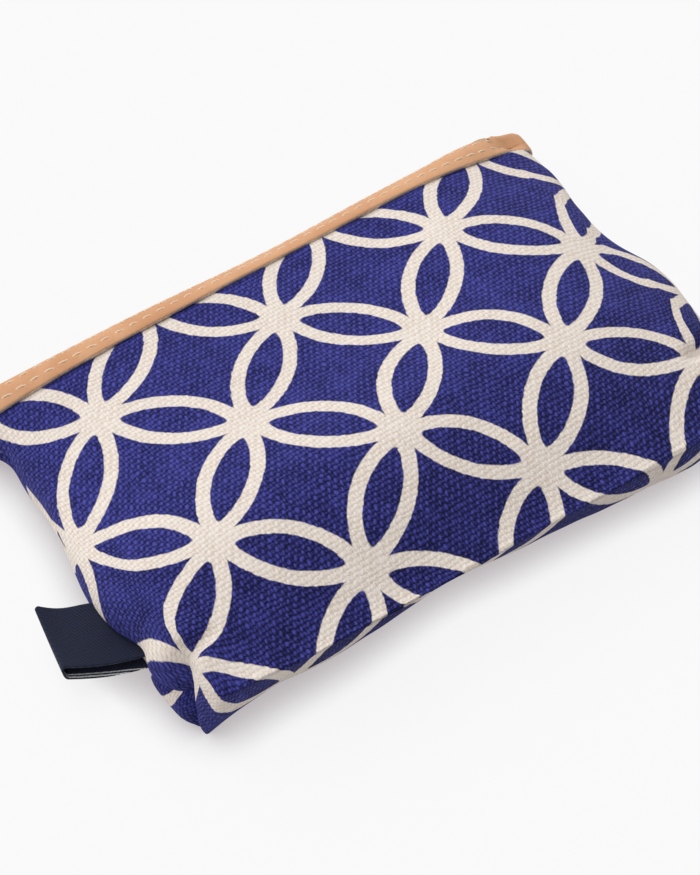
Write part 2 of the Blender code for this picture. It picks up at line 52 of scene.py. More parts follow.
# The bag's shape, the same numbers as in the CAD source
HALF_WIDTH = 62.5 * MM
MOUTH_FLARE = 3.0 * MM
CORNER_INSET = 5.5 * MM
LENGTH_TO_BAND = 41.0 * MM
LIP_REACH = 38.2 * MM
LIP_SKEW = 2.0 * MM
LIP_TAPER = 3.0 * MM
LIP_HEIGHT = 18.5 * MM
BOX_DEPTH = 20.0 * MM
CROSS_SEAM_REACH = 27.0 * MM
CROSS_SEAM_LEAN = 3.2 * MM
BACK_FOLD_REACH = 22.0 * MM
CROWN_HEIGHT = 4.0 * MM
HUMP_HEIGHT = 2.6 * MM
OPEN_END_SWELL = 1.3 * MM
CLOSED_END_SWELL = 4.6 * MM
CORNER_DROOP = 2.3 * MM
BAND_REACH = 5.2 * MM
SLOT_HALF_HEIGHT = 4.0 * MM
SLOT_END = 2.5 * MM
BACK_ROLL = 1.5 * MM
FRONT_ROLL = 4.4 * MM
LEATHER = 1.1 * MM
TAPE = 0.6 * MM
GAP = 0.3 * MM
MOUTH_HALF_WIDTH = HALF_WIDTH + MOUTH_FLARE
SLOT_HALF_LENGTH = MOUTH_HALF_WIDTH - SLOT_END - 0.5 * MM
ZIP_Y = LENGTH_TO_BAND + BAND_REACH
BACK_LIFT = LEATHER + GAP
ZIP_Z = BACK_LIFT + BACK_ROLL + SLOT_HALF_HEIGHT
MOUTH_HEIGHT = ZIP_Z + SLOT_HALF_HEIGHT + FRONT_ROLL
EDGE_FALL = 0.68 * FRONT_ROLL

# How finely the canvas is drawn
ACROSS = 152
DEEP = 24
ALONG = 96
MOUTH_ROWS = 5

# Columns of each row of the bag's tube: the front, the right side, the back and the left side
FRONT_END = ACROSS + 1
SIDE = DEEP - 1
BACK_START = FRONT_END + SIDE
BACK_END = BACK_START + ACROSS + 1
RING = BACK_END + SIDE
ROWS = MOUTH_ROWS + ALONG + 1


def mix(a, b, share):
    return a + (b - a) * share


def smooth(share):
    share = np.clip(share, 0.0, 1.0)
    return share * share * (3.0 - 2.0 * share)


def ramp(value, start, reach):
    """0 up to the start, rising smoothly to 1 one reach further on."""
    return smooth((value - start) / reach)


def bump(distance, reach):
    """1 at no distance, fading to nothing within about two reaches."""
    return np.exp(-((distance / reach) ** 2))


def stack(x, y, z):
    return np.stack(np.broadcast_arrays(x, y, z), axis=-1).astype(float)


# The bag's surface

# Where the front has its hump: middle and reach along; and where it droops beside the boxed corner:
# middle and reach across, then start and reach along
HUMP = (0.63, 0.19)
DROOP_ACROSS = (0.955, 0.07)
DROOP_ALONG = (0.86, 0.14)

# The fold at the zip's closed end stands up here: height, then middle and reach along
RISE_HEIGHT = 3.0 * MM
RISE = (0.28, 0.2)

# Where the front stands fuller than its plain curve: height in mm, then middle and reach in shares
# across and along
PUFFS = ((0.9, -0.07, 0.35, 0.64, 0.2), (0.8, -0.6, 0.3, 0.55, 0.25), (1.5, 0.72, 0.4, 0.26, 0.24))

# Where each side stands out from its plain curve: height in mm, then middle and reach along the bag
SIDE_PUFFS = {
    1.0: ((2.5, 0.14, 0.14), (-2.1, 0.46, 0.12)),
    -1.0: ((-2.4, 0.07, 0.08), (-2.4, 0.33, 0.23), (-2.2, 0.83, 0.06)),
}
SIDE_SWELL = {1.0: CLOSED_END_SWELL, -1.0: OPEN_END_SWELL}
FLARE_REACH = {1.0: 0.3, -1.0: 0.09}

# How much of its full bulge a side keeps at the boxed corner
CORNER_BULGE = 0.18

# Dents and swellings of the bottom panel: depth, middle and reach in mm across the bag
TUCKS = ((2.4, -9.0, 9.0), (1.3, -44.0, 6.0), (-1.5, 26.0, 10.0), (-2.2, 43.0, 8.0))
TUCKED_HALF_WIDTH = 57.0

# The bottom panel's curve leaves the lip downwards and comes to the back fold flat: the lengths of its
# two handles, each in the middle and at the corners, and how far the first one leans out
LIP_HANG = (8.5 * MM, 9.5 * MM)
BACK_LIE = (7.0 * MM, 1.5 * MM)
LIP_OVERHANG = 0.9 * MM

# How the front edge of the mouth sags: depth, middle and reach in mm
MOUTH_SAGS = ((1.7, 4.0, 33.0), (0.4, 61.0, 4.0), (-0.45, 50.0, 6.0))

# At the closed end the mouth's front corner is drawn down and in: start and reach across and along
CUT_ACROSS = (56.0 * MM, 8.0 * MM)
CUT_ALONG = (39.5 * MM, 3.5 * MM)
CUT_DROP = 1.5 * MM
CUT_INSET = 2.2 * MM


def front_height(along):
    straight = mix(MOUTH_HEIGHT, LIP_HEIGHT, along)
    belly = CROWN_HEIGHT * np.sin(math.pi * np.minimum(along / 1.35, 1.0)) ** 0.9
    hump = HUMP_HEIGHT * bump(along - HUMP[0], HUMP[1])
    return straight + hump + belly * (1.0 - 0.75 * ramp(along, 0.8, 0.2))


def corner_share(across):
    """0 along the lip, rising to 1 where the side seam's corner begins."""
    corner = np.clip((np.abs(across) - 0.97) / 0.03, 0.0, 1.0)
    return 1.0 - (1.0 - corner ** 2.5) ** 0.4


def lip_y(across):
    taper = np.clip((np.abs(across) - 0.72) / 0.28, 0.0, 1.0) ** 1.5
    return -LIP_REACH - LIP_SKEW * across + LIP_TAPER * taper


def front_point(across, along):
    """A place on the front panel, by shares across (-1 to 1) and along from the band (0 to 1)."""
    edge = np.abs(across)
    seam_y = -CROSS_SEAM_REACH + 0.5 * CROSS_SEAM_LEAN
    y = mix(LENGTH_TO_BAND, mix(lip_y(across), seam_y, corner_share(across)), along)
    rise = np.where(across > 0.0, RISE_HEIGHT * bump(along - RISE[0], RISE[1]), 0.0)
    fold_z = mix(MOUTH_HEIGHT - EDGE_FALL, BOX_DEPTH, smooth(along)) + rise
    flatness = np.where(across > 0.0, mix(5.0, 3.0, ramp(along, 0.2, 0.5)), 3.0)
    z = mix(front_height(along), fold_z, edge ** flatness)
    for height, x0, wide, along0, long in PUFFS:
        z = z + height * MM * bump(across - x0, wide) * bump(along - along0, long) * (1.0 - edge ** 6)
    droop = bump(edge - DROOP_ACROSS[0], DROOP_ACROSS[1]) * ramp(along, *DROOP_ALONG)
    return stack(across * (HALF_WIDTH - CORNER_INSET), y, z - CORNER_DROOP * droop)


def back_point(across, along):
    seam_y = -CROSS_SEAM_REACH - 0.5 * CROSS_SEAM_LEAN
    fold_y = mix(-BACK_FOLD_REACH, seam_y, ramp(np.abs(across), 0.45, 0.55))
    y = mix(LENGTH_TO_BAND, fold_y, along)
    lift = BACK_LIFT * (1.0 - smooth(along / 0.2))
    return stack(across * (HALF_WIDTH - CORNER_INSET), y, lift)


def bulge(down):
    """The round of a side: nothing at its two folds and 1 in its middle."""
    return np.sqrt(np.clip(1.0 - np.abs(2.0 * down - 1.0) ** 2.2, 0.0, 1.0))


def side_point(sign, down, along):
    """A place on a side, by shares down from the front's fold and along from the band."""
    top = front_point(np.full_like(down, sign), along)
    bottom = back_point(np.full_like(down, sign), along)
    point = mix(top, bottom, down[..., None])
    seam = 1.0 - np.clip((along - 0.88) / 0.12, 0.0, 1.0) ** 2
    out = CORNER_INSET * mix(CORNER_BULGE, 1.0, seam)
    out = out + MOUTH_FLARE * (1.0 - smooth(along / FLARE_REACH[sign]))
    out = out + SIDE_SWELL[sign] * np.sin(math.pi * ramp(along, 0.2, 0.8)) * seam
    for height, middle, reach in SIDE_PUFFS[sign]:
        out = out + height * MM * bump(along - middle, reach)
    point[..., 0] += sign * out * bulge(down)
    return point


def bottom_point(across, down):
    """The bottom panel, from the lip's fold (down 0) under to the back fold (down 1)."""
    one = np.ones_like(across)
    start = front_point(across, one)
    end = back_point(across, one)
    start[..., 1] = lip_y(across)
    edge = np.abs(across)
    at_corner = ramp(edge, 0.6, 0.35)
    drop = start + stack(0.0, -LIP_OVERHANG, -mix(*LIP_HANG, at_corner))
    under = end - stack(0.0, mix(*BACK_LIE, at_corner), 0.0)
    t = down[..., None]
    curve = (1 - t) ** 3 * start + 3 * t * (1 - t) ** 2 * drop + 3 * t * t * (1 - t) * under + t ** 3 * end
    for depth, middle, reach in TUCKS:
        tuck = depth * MM * bump(across * TUCKED_HALF_WIDTH - middle, reach)
        curve[..., 1] += tuck * np.sin(math.pi * np.clip(down * 1.25, 0.0, 1.0))
    seam = mix(front_point(np.sign(across), one), back_point(np.sign(across), one), t)
    seam[..., 0] += np.sign(across) * CORNER_BULGE * CORNER_INSET * bulge(down)
    point = mix(curve, seam, corner_share(across)[..., None])
    point[..., 0] = mix(curve[..., 0], seam[..., 0], ramp(edge, 0.85, 0.15))
    return point


def slot_point(panel, share):
    """A place on the edge of the opening that the zip lies in."""
    y = ZIP_Y + 0.5 * TAPE
    if panel == "front":
        return stack(share * SLOT_HALF_LENGTH, y, ZIP_Z + SLOT_HALF_HEIGHT)
    if panel == "back":
        return stack(share * SLOT_HALF_LENGTH, y, ZIP_Z - SLOT_HALF_HEIGHT)
    sign = 1.0 if panel == "right" else -1.0
    turn = math.pi * share
    x = sign * (SLOT_HALF_LENGTH + SLOT_END * np.sin(turn))
    return stack(x, y, ZIP_Z + SLOT_HALF_HEIGHT * np.cos(turn))


def bag_point(panel, share, along):
    along = np.broadcast_to(along, share.shape).astype(float)
    if panel == "front":
        return front_point(share, along)
    if panel == "back":
        return back_point(share, along)
    return side_point(1.0 if panel == "right" else -1.0, share, along)


def mouth_point(panel, share, part):
    """Rolls from the bag's rim (part 0) over to the slot's edge (part 1)."""
    low = bag_point(panel, share, 0.0)
    across = slot_point(panel, share) - low
    rise = np.hypot(across[..., 0], across[..., 2])
    reach = across[..., 1]
    radius = np.minimum(reach, rise)
    straight = reach - radius
    turn_length = 0.25 * math.pi * (radius + rise)
    run = part * (straight + turn_length)
    turn = 0.5 * math.pi * np.clip((run - straight) / turn_length, 0.0, 1.0)
    forward = np.where(run <= straight, run, straight + radius * np.sin(turn))
    inward = np.where(run <= straight, 0.0, 1.0 - np.cos(turn))
    return settle(low + stack(across[..., 0] * inward, forward, across[..., 2] * inward))


def settle(point):
    """The front edge of the mouth rests a little lower between the stiff ends of the zip."""
    x, y = point[..., 0], point[..., 1]
    sag = sum(depth * MM * bump(x - middle * MM, reach * MM) for depth, middle, reach in MOUTH_SAGS)
    above = np.clip((point[..., 2] - ZIP_Z - 2.0 * MM) / (2.0 * MM), 0.0, 1.0)
    cut = ramp(x, *CUT_ACROSS) * ramp(y, *CUT_ALONG) * above
    rim = np.clip((ZIP_Y - y) / (3.0 * MM), 0.2, 1.0)
    point[..., 2] -= sag * above * ramp(y, LENGTH_TO_BAND, 4.0 * MM) + CUT_DROP * cut * rim
    point[..., 0] -= CUT_INSET * cut
    return point


def spread_to_ends(count, share=0.6):
    """Shares from -1 to 1 that lie closer together towards both ends."""
    even = np.linspace(-1.0, 1.0, count + 1)
    return share * np.sin(0.5 * math.pi * even) + (1.0 - share) * even


def close_to_middle(count, power=1.5):
    """Shares from 0 to 1 that lie closer together round the middle."""
    even = np.linspace(-1.0, 1.0, count + 1)
    return 0.5 + 0.5 * np.sign(even) * np.abs(even) ** power


# Meshes


def mesh_object(name, points, faces, material=None):
    mesh = bpy.data.meshes.new(name)
    mesh.from_pydata([tuple(p) for p in points], [], [tuple(int(i) for i in f) for f in faces])
    mesh.validate()
    mesh.shade_smooth()
    obj = bpy.data.objects.new(name, mesh)
    bpy.context.scene.collection.objects.link(obj)
    if material:
        mesh.materials.append(material)
    return obj


def grid_faces(rows, columns, closed=False):
    """Quads of a grid whose points are numbered row by row; its outer side is on the rows' right."""
    r, c = np.meshgrid(np.arange(rows - 1), np.arange(columns if closed else columns - 1), indexing="ij")
    a = (r * columns + c).ravel()
    b = (r * columns + (c + 1) % columns).ravel()
    return np.stack([a, a + columns, b + columns, b], axis=1)


def cell_corners(grid):
    """The four corners of each cell of a grid."""
    return np.stack([grid[:-1, :-1], grid[:-1, 1:], grid[1:, 1:], grid[1:, :-1]], axis=2)


def arc_along(points, axis):
    """Length run along one axis of a grid of points, from its start."""
    steps = np.linalg.norm(np.diff(points, axis=axis), axis=-1)
    start = np.zeros_like(np.take(steps, [0], axis=axis))
    return np.concatenate([start, np.cumsum(steps, axis=axis)], axis=axis)


def arc_from_middle(points, axis):
    """Length run along one axis of a grid of points, from its middle."""
    run = arc_along(points, axis)
    return run - np.take(run, [points.shape[axis] // 2], axis=axis)


def give_uv(obj, name, corners):
    layer = obj.data.uv_layers.new(name=name)
    layer.data.foreach_set("uv", np.asarray(corners, np.float32).ravel())


def woven_object(name, rows, faces, material):
    """A sheet over rows of points, with its own lengths in metres as the UV map named weave."""
    obj = mesh_object(name, rows.reshape(-1, 3), faces, material)
    at = np.stack([arc_along(rows, 1), arc_along(rows, 0)], -1).reshape(-1, 2)
    give_uv(obj, "weave", at[faces.ravel()])
    return obj


def vertex_normals(points, faces):
    quad = points[faces]
    normal = np.cross(quad[:, 2] - quad[:, 0], quad[:, 3] - quad[:, 1])
    total = np.zeros_like(points)
    for k in range(faces.shape[1]):
        np.add.at(total, faces[:, k], normal)
    return total / np.maximum(np.linalg.norm(total, axis=1, keepdims=True), 1e-12)


def relax(points, faces, weight, rounds):
    """Evens out a mesh; weight is how far each point may follow its neighbours."""
    edges = np.concatenate([faces[:, [k, (k + 1) % 4]] for k in range(4)])
    edges = np.unique(np.sort(edges, axis=1), axis=0)
    count = np.zeros(len(points))
    np.add.at(count, edges[:, 0], 1)
    np.add.at(count, edges[:, 1], 1)
    for _ in range(rounds):
        total = np.zeros_like(points)
        np.add.at(total, edges[:, 0], points[edges[:, 1]])
        np.add.at(total, edges[:, 1], points[edges[:, 0]])
        points = mix(points, total / count[:, None], weight[:, None])
    return points


def wall(obj, thickness, offset=-1.0):
    solid = obj.modifiers.new("wall", "SOLIDIFY")
    solid.thickness = thickness
    solid.offset = offset
    solid.use_even_offset = False


# Nodes and shader maths


class Value:
    """A socket that Python's operators work on; each adds one Math node."""

    def __init__(self, nodes, socket):
        self.nodes = nodes
        self.socket = socket

    def math(self, operation, *others):
        return self.nodes.value("ShaderNodeMath", {"operation": operation}, dict(enumerate((self, *others))))

    def __add__(self, other):
        return self.math("ADD", other)

    def __sub__(self, other):
        return self.math("SUBTRACT", other)

    def __rsub__(self, other):
        return self.nodes.value("ShaderNodeMath", {"operation": "SUBTRACT"}, {0: other, 1: self})

    def __mul__(self, other):
        return self.math("MULTIPLY", other)

    __radd__ = __add__
    __rmul__ = __mul__

    def __abs__(self):
        return self.math("ABSOLUTE")

    def __mod__(self, other):
        return self.math("FLOORED_MODULO", other)

    def __gt__(self, other):
        return self.math("GREATER_THAN", other)

    def __lt__(self, other):
        return self.math("LESS_THAN", other)

    def top(self, other):
        return self.math("MAXIMUM", other)

    def floor(self):
        return self.math("FLOOR")

    def sqrt(self):
        return self.math("SQRT")

    def cos(self):
        return self.math("COSINE")

    def step(self, low, high, start=0.0, end=1.0):
        """The start below low, the end above high, and a smooth change between them."""
        sockets = {"Value": self, "From Min": low, "From Max": high, "To Min": start, "To Max": end}
        return self.nodes.value("ShaderNodeMapRange", {"interpolation_type": "SMOOTHSTEP"}, sockets, "Result")


class Nodes:
    """A node tree whose nodes all come from one method."""

    def __init__(self, tree):
        self.tree = tree
        tree.nodes.clear()

    def node(self, kind, settings=None, sockets=None):
        made = self.tree.nodes.new(kind)
        for key, value in (settings or {}).items():
            setattr(made, key, value)
        for key, value in (sockets or {}).items():
            if isinstance(value, Value):
                self.tree.links.new(value.socket, made.inputs[key])
            else:
                made.inputs[key].default_value = value
        return made

    def value(self, kind, settings=None, sockets=None, output=0):
        return Value(self, self.node(kind, settings, sockets).outputs[output])

    def join(self, x=0.0, y=0.0, z=0.0):
        return self.value("ShaderNodeCombineXYZ", None, {0: x, 1: y, 2: z})


class Paint(Nodes):
    """A material or a world, and the nodes that make it."""

    def __init__(self, owner):
        self.owner = owner
        owner.use_nodes = True
        super().__init__(owner.node_tree)

    def split(self, vector):
        parts = self.node("ShaderNodeSeparateXYZ", None, {0: vector})
        return [Value(self, parts.outputs[k]) for k in range(3)]

    def uv(self, name):
        return self.value("ShaderNodeUVMap", {"uv_map": name}, None, "UV")

    def place(self):
        return self.value("ShaderNodeTexCoord", None, None, "Object")

    def noise(self, vector, scale=1.0, detail=2.0, roughness=0.5):
        sockets = {"Vector": vector, "Scale": scale, "Detail": detail, "Roughness": roughness}
        return self.value("ShaderNodeTexNoise", None, sockets, "Fac")

    def drift(self, vector, reach, scale=1.0):
        """A smooth random shift of up to half the reach either way."""
        return (self.noise(vector, scale, 1.0) - 0.5) * reach

    def chance(self, vector):
        """An even random number for each whole number of the vector."""
        return self.value("ShaderNodeTexWhiteNoise", {"noise_dimensions": "3D"}, {"Vector": vector}, "Value")

    def blend(self, factor, a, b, way="MIX"):
        sockets = {0: factor, 6: a, 7: b}
        return self.value("ShaderNodeMix", {"data_type": "RGBA", "blend_type": way}, sockets, 2)

    def bump(self, height, distance, strength=1.0):
        sockets = {"Height": height, "Distance": distance, "Strength": strength}
        return self.value("ShaderNodeBump", None, sockets, "Normal")

    def finish(self, **sockets):
        names = {key.replace("_", " "): value for key, value in sockets.items()}
        shader = self.value("ShaderNodeBsdfPrincipled", None, names, "BSDF")
        self.node("ShaderNodeOutputMaterial", None, {"Surface": shader})
        return self.owner


def new_paint(name):
    return Paint(bpy.data.materials.new(name))


def linear(red, green, blue):
    """A colour as seen on screen (0 to 255), as the shader's own numbers."""
    parts = [c / 255.0 for c in (red, green, blue)]
    return tuple(c / 12.92 if c <= 0.04045 else ((c + 0.055) / 1.055) ** 2.4 for c in parts) + (1.0,)


# Colours beside those in the settings: painted shade for the hollows between the threads of the cloth, the
# sewing thread, the tape and the ribbon, and the leather's own clouds, pores and cut-edge fibres
CLOTH_PAINTED_SHADE = linear(216, 196, 178)
LEATHER_CLOUD = linear(207, 150, 107)
LEATHER_PORE = linear(170, 110, 66)
EDGE_FIBRE = linear(205, 168, 132)
THREAD_PAINTED_SHADE = linear(232, 198, 164)
TAPE_PAINTED_SHADE = linear(150, 122, 92)
RIBBON_PAINTED_SHADE = linear(6, 8, 20)


# Settings


def number_setting(name, description, default, **more):
    return bpy.props.FloatProperty(name=name, description=description, default=default, **more)


def length_setting(name, description, default):
    return number_setting(name, description, default, min=0.0, unit="LENGTH", subtype="DISTANCE")


def colour_setting(name, description, default):
    return bpy.props.FloatVectorProperty(
        name=name, description=description, default=default, size=4, min=0.0, max=1.0, subtype="COLOR"
    )


class PouchCanvasSettings(bpy.types.PropertyGroup):
    circle_radius: length_setting("Circle radius", "Radius of the print's circles", 19.0 * MM)
    stroke: length_setting("Stroke", "Half the width of a printed line", 1.32 * MM)
    warp: number_setting("Warp", "Threads across one circle radius", 28.0, min=1.0)
    weft: number_setting("Weft", "Threads along one circle radius", 18.8, min=1.0)
    thickness: length_setting("Thickness", "Thickness of the canvas", 0.9 * MM)
    seam_depth: length_setting("Seam depth", "How far the seams are drawn in", 0.8 * MM)
    ink: colour_setting("Ink", "Colour of the print", linear(78, 80, 176))
    # Painted shade: the print's colour deep in the hollows between threads, darker than the ink itself
    ink_painted_shade: colour_setting("Ink in the gaps", "Colour of the print between threads", linear(11, 11, 56))
    cloth: colour_setting("Cloth", "Colour of the unprinted threads", linear(247, 237, 228))
    husk: colour_setting("Husks", "Colour of the specks in the cotton", linear(168, 140, 104))


class PouchLeatherSettings(bpy.types.PropertyGroup):
    thickness: length_setting("Thickness", "Thickness of the leather", LEATHER)
    pitch: length_setting("Stitch pitch", "From one stitch to the next", 3.0 * MM)
    stitch: length_setting("Stitch length", "Length of thread that shows", 2.5 * MM)
    thread: length_setting("Thread width", "Width of the sewing thread", 0.44 * MM)
    face: colour_setting("Leather", "Colour of the leather's face", linear(221, 168, 126))
    edge: colour_setting("Cut edge", "Colour of the leather's cut edge", linear(236, 224, 210))
    cotton: colour_setting("Thread", "Colour of the sewing thread", linear(244, 222, 196))


class PouchZipSettings(bpy.types.PropertyGroup):
    tape: colour_setting("Tape", "Colour of the zip's tape", linear(196, 170, 138))
    brass: colour_setting("Teeth", "Colour of the teeth", linear(176, 150, 104))
    metal: colour_setting("Slider", "Colour of the slider and its pull", linear(188, 178, 160))
    tarnish: colour_setting("Tarnish", "Colour of the metal's hollows", linear(88, 70, 46))


class PouchLabelSettings(bpy.types.PropertyGroup):
    ribbon: colour_setting("Ribbon", "Colour of the label", linear(34, 42, 74))
    border: colour_setting("Border", "Colour of the woven border lines", linear(236, 236, 236))
    thickness: length_setting("Thickness", "Thickness of the ribbon", 0.35 * MM)


class PouchStageSettings(bpy.types.PropertyGroup):
    floor: colour_setting("Floor", "Colour of the floor", linear(247, 247, 247))
    glow: number_setting("Glow", "Share of the floor that shows plain, so its shadows stay pale", 0.93)
    shadow: colour_setting("Shadow", "Colour of the plain floor under the pouch", linear(184, 178, 181))
    shadow_reach: length_setting("Shadow reach", "How far the plain floor's shadow spreads", 9.0 * MM)
    sky: number_setting("Sky", "Light from the front and below", 0.25, min=0.0)
    back_sky: number_setting("Back sky", "Light from behind the zip, the brightest", 1.1, min=0.0)
    sun: number_setting("Sun", "Light of the large soft lamp; 1 lights white to white", 0.37, min=0.0)
    spread: number_setting("Spread", "How wide the lamp looks", math.radians(60.0), subtype="ANGLE")


# Canvas

# The print is made of petals that lie slantwise from one whole number of a grid to the next, in circle
# radii. Each of a petal's two arcs has its middle this far off on the other side, and this radius
ARC_MIDDLE = 0.8156
ARC_RADIUS = 1.0533

# How much the petals' tips are rounded and the edges of the lines blurred
ARC_TIP = 0.03
PRINT_BLUR = 0.007

# Where the print's own origin lies, from the middle of the front panel's upper edge
PRINT_ORIGIN = (-1.245, -1.74)

# Where the cloth is drawn aside: place, pull and reach, all in circle radii
PULLS = (
    (-1.96, -1.80, -0.02, -0.12, 0.8),
    (-2.4, -1.9, 0.0, 0.13, 0.35),
    (4.07, -1.80, -0.07, -0.20, 0.8),
    (4.04, 0.02, -0.04, -0.02, 0.8),
    (-2.08, -0.09, 0.08, 0.09, 0.7),
    (-1.06, 1.02, 0.06, -0.02, 0.6),
    (-2.1, 1.38, 0.0, 0.12, 0.45),
    (2.0, -0.04, 0.0, 0.04, 0.6),
    (1.04, -1.02, -0.04, 0.02, 0.6),
    (1.96, -2.01, 0.04, 0.01, 0.6),
)

# Beside one boxed corner the print slants: from where, how far out, how far round and how steeply
SLANT_PLACE = (-1.95, -1.95)
SLANT_WIDTH = 0.7
SLANT_REACH = 0.9
SLANT = 0.6


def canvas_weave(paint, at, x, y, settings):
    """How high the threads stand, and a random number for each warp thread and for each crossing."""
    ends = x * settings.warp + paint.drift(at, 1.6, 2.1) + paint.drift(paint.join(x * 13.0, y * 7.0), 1.2)
    picks = y * settings.weft + paint.drift(paint.join(x + 7.3, y - 2.9), 1.3, 1.7)
    picks = picks + paint.drift(paint.join(x * 9.0 + 3.7, y * 9.0), 1.0)
    end_number, pick_number = ends.floor(), picks.floor()
    over = 1.0 - (end_number + pick_number) % 2.0
    end_luck = paint.chance(paint.join(end_number, 3.0))
    pick_luck = paint.chance(paint.join(5.0, pick_number))
    knot_luck = paint.chance(paint.join(end_number, pick_number, 9.0))
    e, p = ends - end_number - 0.5, picks - pick_number - 0.5

    # The warp's beads lean with the yarn's twist, so they run together into slanting rows
    bead = ((e - p) * (math.pi * 0.7)).cos().top(0.0) * ((e + p) * (math.pi * 0.56)).cos().top(0.0)
    low = (p * math.pi).cos() * ((e + p * 0.4) * (math.pi * 0.7)).cos().top(0.0)
    warp = (bead * 0.75 + 0.15 + end_luck * 0.12) * over
    weft = (low * 0.42 + 0.1 + pick_luck * 0.12) * (1.0 - over)
    fray = paint.noise(paint.join(x * 70.0, y * 56.0), detail=3.0, roughness=0.6)
    weave = (warp + weft) * (0.8 + 0.4 * knot_luck) + (fray - 0.5) * 1.1
    return weave, end_luck, knot_luck


def unprinted(x, y, stroke):
    """1 on the print's pale lines and 0 on its ink, at a place in circle radii."""
    cell_x, cell_y = x.floor(), y.floor()
    flip = 1.0 - 2.0 * ((cell_x + cell_y) % 2.0)
    qx = (x - cell_x - 0.5) * flip
    qy = y - cell_y - 0.5
    along_petal = (qx + qy) * math.sqrt(0.5)
    off_petal = (qy - qx) * math.sqrt(0.5)
    off_middle = (off_petal * off_petal + ARC_TIP ** 2).sqrt() + ARC_MIDDLE
    off_arc = abs((along_petal * along_petal + off_middle * off_middle).sqrt() - ARC_RADIUS)
    return 1.0 - off_arc.step(stroke - PRINT_BLUR, stroke + PRINT_BLUR)


def canvas_material(settings):
    paint = new_paint("printed_canvas")
    at = paint.uv("print")
    x, y, _ = paint.split(at)
    weave, end_luck, knot_luck = canvas_weave(paint, at, x, y, settings)

    # The print's lines move a little where they cross the threads
    stroke = settings.stroke / settings.circle_radius
    bare = unprinted(x + (knot_luck - 0.5) * 0.01, y + (end_luck - 0.5) * 0.007, stroke)

    # Painted light and sheen: the cloth is painted a little paler high up on the front and towards the label,
    # where the light falls more fully, and darker lower down, where it grazes
    pale = y.step(-2.4, -0.2).top((0.0 - x).step(1.1, 2.1))
    patch = paint.noise(at, 3.0, 3.0, 0.6)
    # Painted shade and highlight: the ink and the cloth go from their painted-shade colours where the threads
    # lie low to their own colours on the threads' tops
    tone = (weave + (patch - 0.5) * 0.5 + pale * 0.15 - 0.24).step(-0.15, 0.95)
    ink = paint.blend(tone, settings.ink_painted_shade, settings.ink)
    cloth = paint.blend((weave + (patch - 0.5) * 0.3).step(-0.15, 0.7), CLOTH_PAINTED_SHADE, settings.cloth)
    speck = paint.noise(paint.join(x * 60.0, y * 34.0), roughness=0.7).step(0.69, 0.77)
    cloth = paint.blend(speck * 0.55, cloth, settings.husk)
    # Painted light and shade: the whole colour is multiplied down a little away from those lit places
    level = pale * 0.06 + 0.94
    colour = paint.blend(1.0, paint.blend(bare, ink, cloth), paint.join(level, level, level), "MULTIPLY")
    height = (weave + patch * 0.3) * (1.0 - bare * 0.5)
    return paint.finish(
        Base_Color=colour,
        Roughness=0.9 - weave * 0.12,
        Normal=paint.bump(height, 0.3 * MM, 0.9),
        Sheen_Weight=0.03,
        Sheen_Roughness=0.5,
        Specular_IOR_Level=0.18,
    )


def canvas_rows(across, down, steps):
    """The tube of the bag, row by row from the mouth to the bottom."""
    panels = (("front", across), ("right", down), ("back", across[::-1]), ("left", down[::-1]))
    rows = []
    for part in np.linspace(0.4, 0.0, MOUTH_ROWS + 1)[:-1]:
        rows.append(np.concatenate([mouth_point(panel, share, part) for panel, share in panels]))
    for along in steps:
        rows.append(np.concatenate([bag_point(panel, share, along) for panel, share in panels]))
    return np.array(rows)


def canvas_mesh(across, down, steps):
    """Points and faces of the bag, and the numbers of the bottom panel's points, whose rim is the
    last row of the tube."""
    rows = canvas_rows(across, down, steps)
    inner_across, inner_down = np.meshgrid(across[1:-1], down, indexing="ij")
    bottom = bottom_point(inner_across, inner_down)
    first = ROWS * RING
    last = first - RING
    number = np.zeros((ACROSS + 1, DEEP + 1), int)
    number[1:-1, 1:-1] = first + np.arange(inner_across.size).reshape(inner_across.shape)
    number[:, 0] = last + np.arange(ACROSS + 1)
    number[:, -1] = last + BACK_END - 1 - np.arange(ACROSS + 1)
    number[-1, 1:-1] = last + FRONT_END + np.arange(SIDE)
    number[0, 1:-1] = last + RING - 1 - np.arange(SIDE)
    points = np.concatenate([rows.reshape(-1, 3), bottom.reshape(-1, 3)])
    faces = np.concatenate([grid_faces(ROWS, RING, closed=True), cell_corners(number).reshape(-1, 4)])
    return points, faces, number


def canvas_hold(across, alongs):
    """How freely each point of the tube is evened out: not at the mouth, and little at the last folds."""
    hold = np.ones((ROWS, RING))
    hold[: MOUTH_ROWS + 1] = 0.0
    hold *= smooth(alongs[:, None] / 0.06)
    ease = np.full(RING, 0.5)
    ease[:FRONT_END] = 0.4 * ramp(np.abs(across), 0.93, 0.05)
    ease[BACK_START:BACK_END] = ease[:FRONT_END][::-1]
    hold[-1] = ease
    hold[-2] = np.maximum(ease, 0.3)
    return hold


def canvas_push(points, across, down, alongs, seam_depth):
    """How far each point of the tube moves out: the side seams are drawn in and the lip stands proud."""
    grid = points[: ROWS * RING].reshape(ROWS, RING, 3)
    push = np.zeros((ROWS, RING))
    for start, middle in ((FRONT_END, down), (BACK_END, down[::-1])):
        side = slice(start - 1, start + SIDE + 1)
        seam = int(np.argmin(np.abs(middle - 0.5))) + 1
        run = arc_along(grid[:, side], 1)
        near = bump(run - run[:, seam][:, None], 0.9 * MM) * ramp(alongs[:, None], -0.02, 0.05)
        push[:, side] -= seam_depth * near
    to_lip = arc_along(grid[::-1], 0)[::-1]
    fold = np.zeros(RING)
    fold[:FRONT_END] = 1.0 - corner_share(across) * 0.9
    return push + 0.2 * MM * bump(to_lip, 0.6 * MM) * fold


